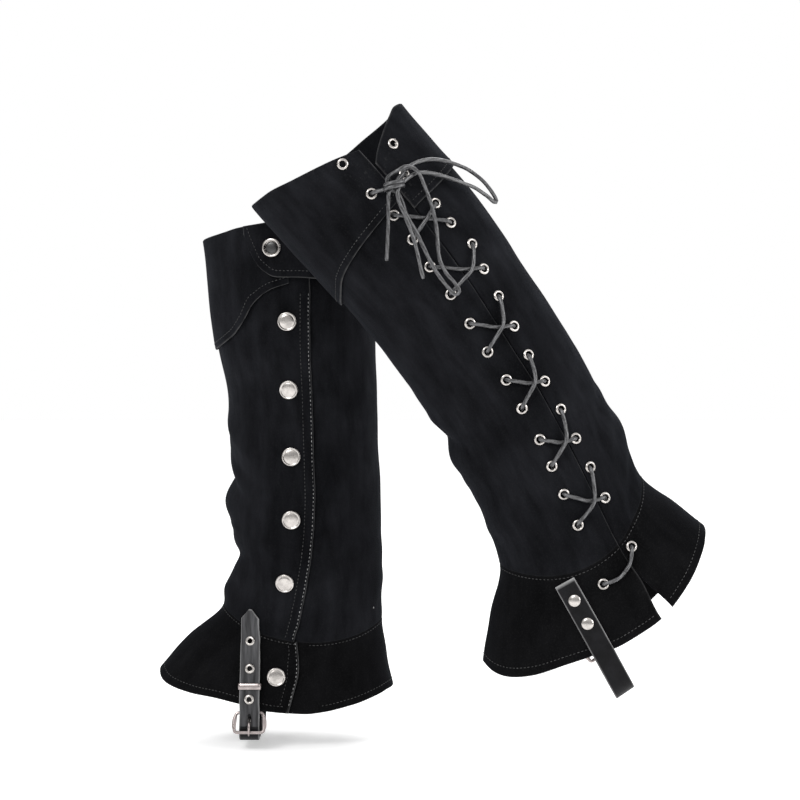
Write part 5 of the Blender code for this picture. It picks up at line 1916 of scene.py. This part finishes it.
# %% Ribbons of leather
def ribbon(cover, name, centres, outwards, half_widths, thick, heights, holes, node, handled):
    """Strap through stations, with round holes of given radius at heights on its middle line."""
    tangent = unit(np.gradient(centres, axis=0))
    across = unit(np.cross(tangent, outwards))
    upward = np.where(tangent[:, 2:] > 0, tangent, -tangent)
    spread = rim_shares(float(half_widths.max() * 2)) * 2 - 1
    u = half_widths[:, None] * spread[None]
    v = np.broadcast_to(heights[:, None], u.shape)
    keep = np.ones((u.shape[0] - 1, u.shape[1] - 1), bool)
    move_u, move_v = np.zeros(u.shape), np.zeros(u.shape)
    for hole_height, radius, stretch in holes:
        shift_u, shift_v = punch(u, (v - hole_height) / stretch, keep, radius)
        move_u += np.nan_to_num(shift_u)
        move_v += np.nan_to_num(shift_v * stretch)
    sideways = across[:, None] * (u + move_u)[..., None]
    middle = centres[:, None] + sideways + upward[:, None] * move_v[..., None]
    draw_in = round_off(u.shape)[..., None]
    out = outwards[:, None]
    inner = place(cover, middle + out * draw_in * INNER_ROUND_OFF)
    outer = place(cover, middle + out * (thick - draw_in * OUTER_ROUND_OFF))
    # on leather the edge mark carries a painted highlight along the rims
    edge = raw_edge(u.shape, Raw(1, 1, 0.8, 0.8))
    steps = steps_along(centres)
    long_way = np.broadcast_to(steps[:, None], u.shape)
    # the second mark gives the painted sheen
    marks = {"edge": edge, "handled": np.broadcast_to(handled[:, None], u.shape)}
    name = f"{cover.name}_{name}"
    piece = add_wall(name, inner, outer, keep, marks, u / DECIMETRE, long_way / DECIMETRE, LEATHER)
    ride(piece, "smooth_leather", node)
    print(piece.name, f"{steps[-1]:.0f} mm long")
    return piece


def long_strap(cover):
    turn_at = STRAP_TURN - cover.strap_drop
    tip = (*(TIP_TOP - step for step in TIP_STEPS), TIP_SHOULDER)
    billet = np.concatenate((tip, downward(TIP_SHOULDER - 0.8, turn_at + 1)))
    inner_side = billet_point(cover, billet)
    inner_turn = strap_turn(cover, -1, billet_point(cover, turn_at)[0][0, 1])
    outer_turn = strap_turn(cover, 1, strap_point(cover, turn_at, 1, STRAP_LIFT)[0][0, 1])
    outer = downward(OUTER_TOP, turn_at + 1)[::-1]
    outer_side = strap_point(cover, outer, 1, STRAP_LIFT)
    arch = (inner_turn[0][-1] + outer_turn[0][-1]) / 2, inner_turn[1][-1]
    outer_turn = outer_turn[0][::-1], outer_turn[1][::-1]
    parts = (inner_side, inner_turn, (arch[0][None], arch[1][None]), outer_turn, outer_side)
    centres = np.concatenate([part[0] for part in parts])
    outwards = np.concatenate([part[1] for part in parts])
    heights = np.full(len(centres), np.nan)
    heights[:len(billet)] = billet
    half = np.full(len(centres), STRAP_WIDTH / 2)
    widening = (STRAP_WIDTH / 2 - TIP_WIDTH) * (TIP_TOP - billet) / (TIP_TOP - TIP_SHOULDER)
    half[:len(billet)] = np.minimum(STRAP_WIDTH / 2, TIP_WIDTH + widening)
    holes = [(height, STRAP_BORE / 2 + BORE_MARGIN, 1.0) for height in STRAP_HOLES]
    holes.append((PRONG_SLOT_AT, SLOT_HALF_WIDTH, PRONG_SLOT / 2 / SLOT_HALF_WIDTH))
    # the billet takes the painted sheen in full
    handled = np.zeros(len(centres))
    handled[:len(billet)] = 1.0
    return ribbon(
        cover, "strap_leather", centres, outwards, half, STRAP_THICK, heights, holes,
        f"{cover.name}_strap", handled)


def short_strap(cover):
    """The chape goes down from the spat, over the heel bar and round behind it."""
    down_run = downward(CHAPE[0].height, HEEL_BAR)
    centres, outwards = strap_point(cover, down_run, -1, station_lift(CHAPE, down_run))
    bar, outward = strap_point(cover, HEEL_BAR, -1, WALL + LAYER + HEEL_BAR_CENTRE)
    bend = np.linspace(math.pi / (LOOP_STEPS + 1), math.pi, LOOP_STEPS)[:, None]
    spokes = outward * np.cos(bend) - np.array((0, 0, 1)) * np.sin(bend)
    centres = np.concatenate((centres, bar + spokes * (BUCKLE_WIRE / 2 + SEAM)))
    outwards = np.concatenate((outwards, spokes))
    half = np.full(len(centres), CHAPE_WIDTH / 2)
    heights = np.full(len(centres), np.nan)
    return ribbon(
        cover, "chape_leather", centres, outwards, half, CHAPE_THICK, heights, [],
        f"{cover.name}_chape", np.full(len(centres), CHAPE_PAINTED_SHEEN))


for cover in COVERS:
    long_strap(cover)
    short_strap(cover)


# %% Eyelets and rivets of the straps
def strap_spot(cover, centre, outward):
    out = unit(turned_points(cover, outward))
    return place(cover, centre), out, unit(turned_points(cover, np.array((1.0, 0, 0))))


RIVET_SIDES = 28
strap_profile = eyelet_profile(STRAP_EYELET, STRAP_BORE, STRAP_THICK)
strap_eyelet = turned_part("strap_eyelet", strap_profile, EYELET_SIDES, NICKEL)
rivet_part = turned_part("rivet", rivet_profile(RIVET), RIVET_SIDES, NICKEL)
for cover in COVERS:
    spots = []
    for height in STRAP_HOLES:
        centre, outward = billet_point(cover, height, STRAP_THICK)
        spots.append(strap_spot(cover, centre[0], outward[0]))
    piece = set_parts(f"{cover.name}_strap_eyelets", strap_eyelet, spots, NICKEL, spin=SPIN)
    ride(piece, "nickel")
    spots = []
    for height in RIVETS:
        centre, outward = strap_point(cover, height, 1, STRAP_LIFT + STRAP_THICK)
        spots.append(strap_spot(cover, centre[0], outward[0]))
    piece = set_parts(f"{cover.name}_rivets", rivet_part, spots, NICKEL, spin=SPIN)
    ride(piece, "nickel", f"{cover.name}_rivet_1", f"{cover.name}_rivet_2")
for part in (strap_eyelet, rivet_part):
    bpy.data.objects.remove(part)

# %% [markdown]
# ## Buckle and keeper
#
# The buckle's frame is cast, not bent: its side bars swell in the middle like two crescents, and its
# corners are round. Carrying an oval section along a closed path and widening it on the sides gives
# that. The prong is a bent wire with a tapered end. The keeper is a flat metal loop that holds the
# strap's free end down, swept from a rounded oblong.

# %% Buckle frame and prong
FRAME_HALF_WIDTH = 12.4
FRAME_FLARE = 1.2
FRAME_BULGE = 0.6
FRAME_CORNER = 3.4
SIDE_SWELL = 0.35
FRAME_DEPTH_SHARE = 0.92
FRAME_SIDES = 16
CORNER_STEPS = 6
EDGE_STEPS = 12
PRONG_WIRE = 2.2
PRONG_SIDES = 12
PRONG_STEP = 0.8
PRONG_TAPER = 0.35
TAPER_FROM = 0.55
TAPER_OVER = 0.4
PRONG_END_SHARE = 0.7
PRONG = (
    Station(-9.3, 0.2),
    Station(-10.5, 2.2),
    Station(-12.0, 7.8),
    Station(-15.5, 9.6),
    Station(-20.5, 9.6),
    Station(-23.2, 9.0),
)


def rounded_path(corners, radius):
    """Closed path whose corners are cut round; also how far along its own side each point lies."""
    points, shares = [], []
    count = len(corners)
    for k, corner in enumerate(corners):
        after = corners[(k + 1) % count]
        to_before = unit(corners[k - 1] - corner) * radius
        to_after = unit(after - corner) * radius
        for t in np.linspace(0, 1, CORNER_STEPS):
            points.append(corner + to_before * (1 - t) ** 2 + to_after * t ** 2)
            shares.append((k, 0.0))
        length = np.linalg.norm(after - corner)
        for t in np.linspace(radius / length, 1 - radius / length, EDGE_STEPS)[1:-1]:
            points.append(corner + (after - corner) * t)
            shares.append((k, t))
    return np.array(points), shares


def buckle(cover):
    heel = strap_point(cover, HEEL_BAR, -1, WALL + LAYER + HEEL_BAR_CENTRE)[0][0]
    lower = strap_point(cover, LOWER_BAR, -1, WALL + LAYER + LOWER_BAR_CENTRE)[0][0]
    side = np.array((FRAME_HALF_WIDTH, 0, 0))
    low_side = np.array((FRAME_HALF_WIDTH + FRAME_FLARE, 0, 0))
    corners = [heel - side, heel + side, lower + low_side, lower - low_side]
    path, shares = rounded_path(corners, FRAME_CORNER)
    swell = np.array([math.sin(math.pi * t) if k in (1, 3) else 0.0 for k, t in shares])
    way = np.array([1.0 if k == 1 else -1.0 for k, _ in shares])
    path[:, 0] += way * swell * FRAME_BULGE
    section = circle(BUCKLE_WIRE / 2 * MM, FRAME_SIDES)
    face = unit(np.cross(heel - lower, side))
    start = unit(turned_points(cover, face))
    scales = np.stack((FRAME_DEPTH_SHARE + 0 * swell, 1.0 + SIDE_SWELL * swell), -1)
    piece = sweep(
        f"{cover.name}_buckle_plated", place(cover, path), section, GUNMETAL,
        closed=True, start=start, scales=scales)
    ride(piece, "nickel", f"{cover.name}_buckle_frame")


def prong(cover):
    stations = np.array(PRONG)
    route = strap_point(cover, stations[:, 0], -1, WALL + LAYER + stations[:, 1])[0]
    path = place(cover, smooth_path(route, PRONG_STEP))
    share = np.linspace(0, 1, len(path))
    taper = 1.0 - PRONG_TAPER * smooth_step((share - TAPER_FROM) / TAPER_OVER)
    scales = np.repeat(taper[:, None], 2, 1)
    scales[[0, -1]] *= PRONG_END_SHARE
    section = circle(PRONG_WIRE / 2 * MM, PRONG_SIDES)
    piece = sweep(f"{cover.name}_prong_plated", path, section, GUNMETAL, scales=scales)
    ride(piece, "nickel", f"{cover.name}_buckle_prong")


# %% Keeper
KEEPER_AT = 19.0
KEEPER_HEIGHT = 5.7
KEEPER_WALL = 1.2
KEEPER_CLEAR = 0.35
KEEPER_CORNER = 2.2
KEEPER_BACK = 0.5
KEEPER_BEVEL = 0.4


def oblong(width, height, bevel):
    """Section with cut corners."""
    x, y = width / 2, height / 2
    return np.array((
        (x - bevel, -y), (x, -y + bevel), (x, y - bevel), (x - bevel, y),
        (-x + bevel, y), (-x, y - bevel), (-x, -y + bevel), (-x + bevel, -y)))


def keeper(cover):
    centre, outward = (part[0] for part in strap_point(cover, KEEPER_AT, -1, WALL + LAYER))
    side = STRAP_WIDTH / 2 + KEEPER_CLEAR + KEEPER_WALL / 2
    low = KEEPER_BACK + KEEPER_WALL / 2
    strap_face = float(station_lift(BILLET, KEEPER_AT)) - WALL - LAYER + STRAP_THICK
    top = strap_face + KEEPER_CLEAR + KEEPER_WALL / 2
    across = unit(np.array((1.0, 0, 0)) - outward * outward[0])
    places = ((-side, low), (side, low), (side, top), (-side, top))
    corners = [centre + across * a + outward * h for a, h in places]
    path, _ = rounded_path(corners, KEEPER_CORNER)
    lengthwise = unit(turned_points(cover, np.cross(across, outward)))
    section = oblong(KEEPER_HEIGHT * MM, KEEPER_WALL * MM, KEEPER_BEVEL * MM)
    piece = sweep(
        f"{cover.name}_keeper_plated", place(cover, path), section, GUNMETAL,
        closed=True, start=lengthwise)
    ride(piece, "nickel", f"{cover.name}_keeper")


for cover in COVERS:
    buckle(cover)
    prong(cover)
    keeper(cover)
    print(cover.name, "buckle, prong and keeper")

# %% [markdown]
# ## The knots
#
# The bow is tied with a knot that wraps twice round its strands, just beside the second eyelet. A wrap
# is an oblong coil: it runs across in front of the strands, back behind them, and ends out of sight.

# %% Knots of the bows
KNOT_HEELWARD = -2.0
KNOT_DROP = 5.5
KNOT_LIFT = 12.6
KNOT_HALF_WIDTH = 6.3
KNOT_HALF_DEPTH = 5.2
KNOT_PITCH = 3.4
KNOT_WRAPS = 2
KNOT_STEPS = 56
KNOT_SQUARE = 0.72
KNOT_BEGINS = 0.25

for cover in COVERS:
    path = []
    for share in np.linspace(0, 1, KNOT_STEPS):
        turn = 2 * math.pi * (KNOT_WRAPS * share - KNOT_BEGINS)
        across = KNOT_HALF_WIDTH * signed_power(math.cos(turn), KNOT_SQUARE)
        path.append(bow_point(cover, Bow(
            (KNOT_HEELWARD + across) / cover.bow_reach,
            KNOT_DROP + KNOT_PITCH * KNOT_WRAPS * (share - 0.5),
            KNOT_LIFT + KNOT_HALF_DEPTH * math.sin(turn))))
    path = place(cover, np.array(path).reshape(-1, 3))
    name = f"{cover.name}_knot"
    piece = sweep(name, path, lace_section(), LACE_CORD)
    ride(piece, "lace_cord")
    print(name, f"{steps_along(path)[-1] / MM:.0f} mm of lace in {KNOT_WRAPS} wraps")
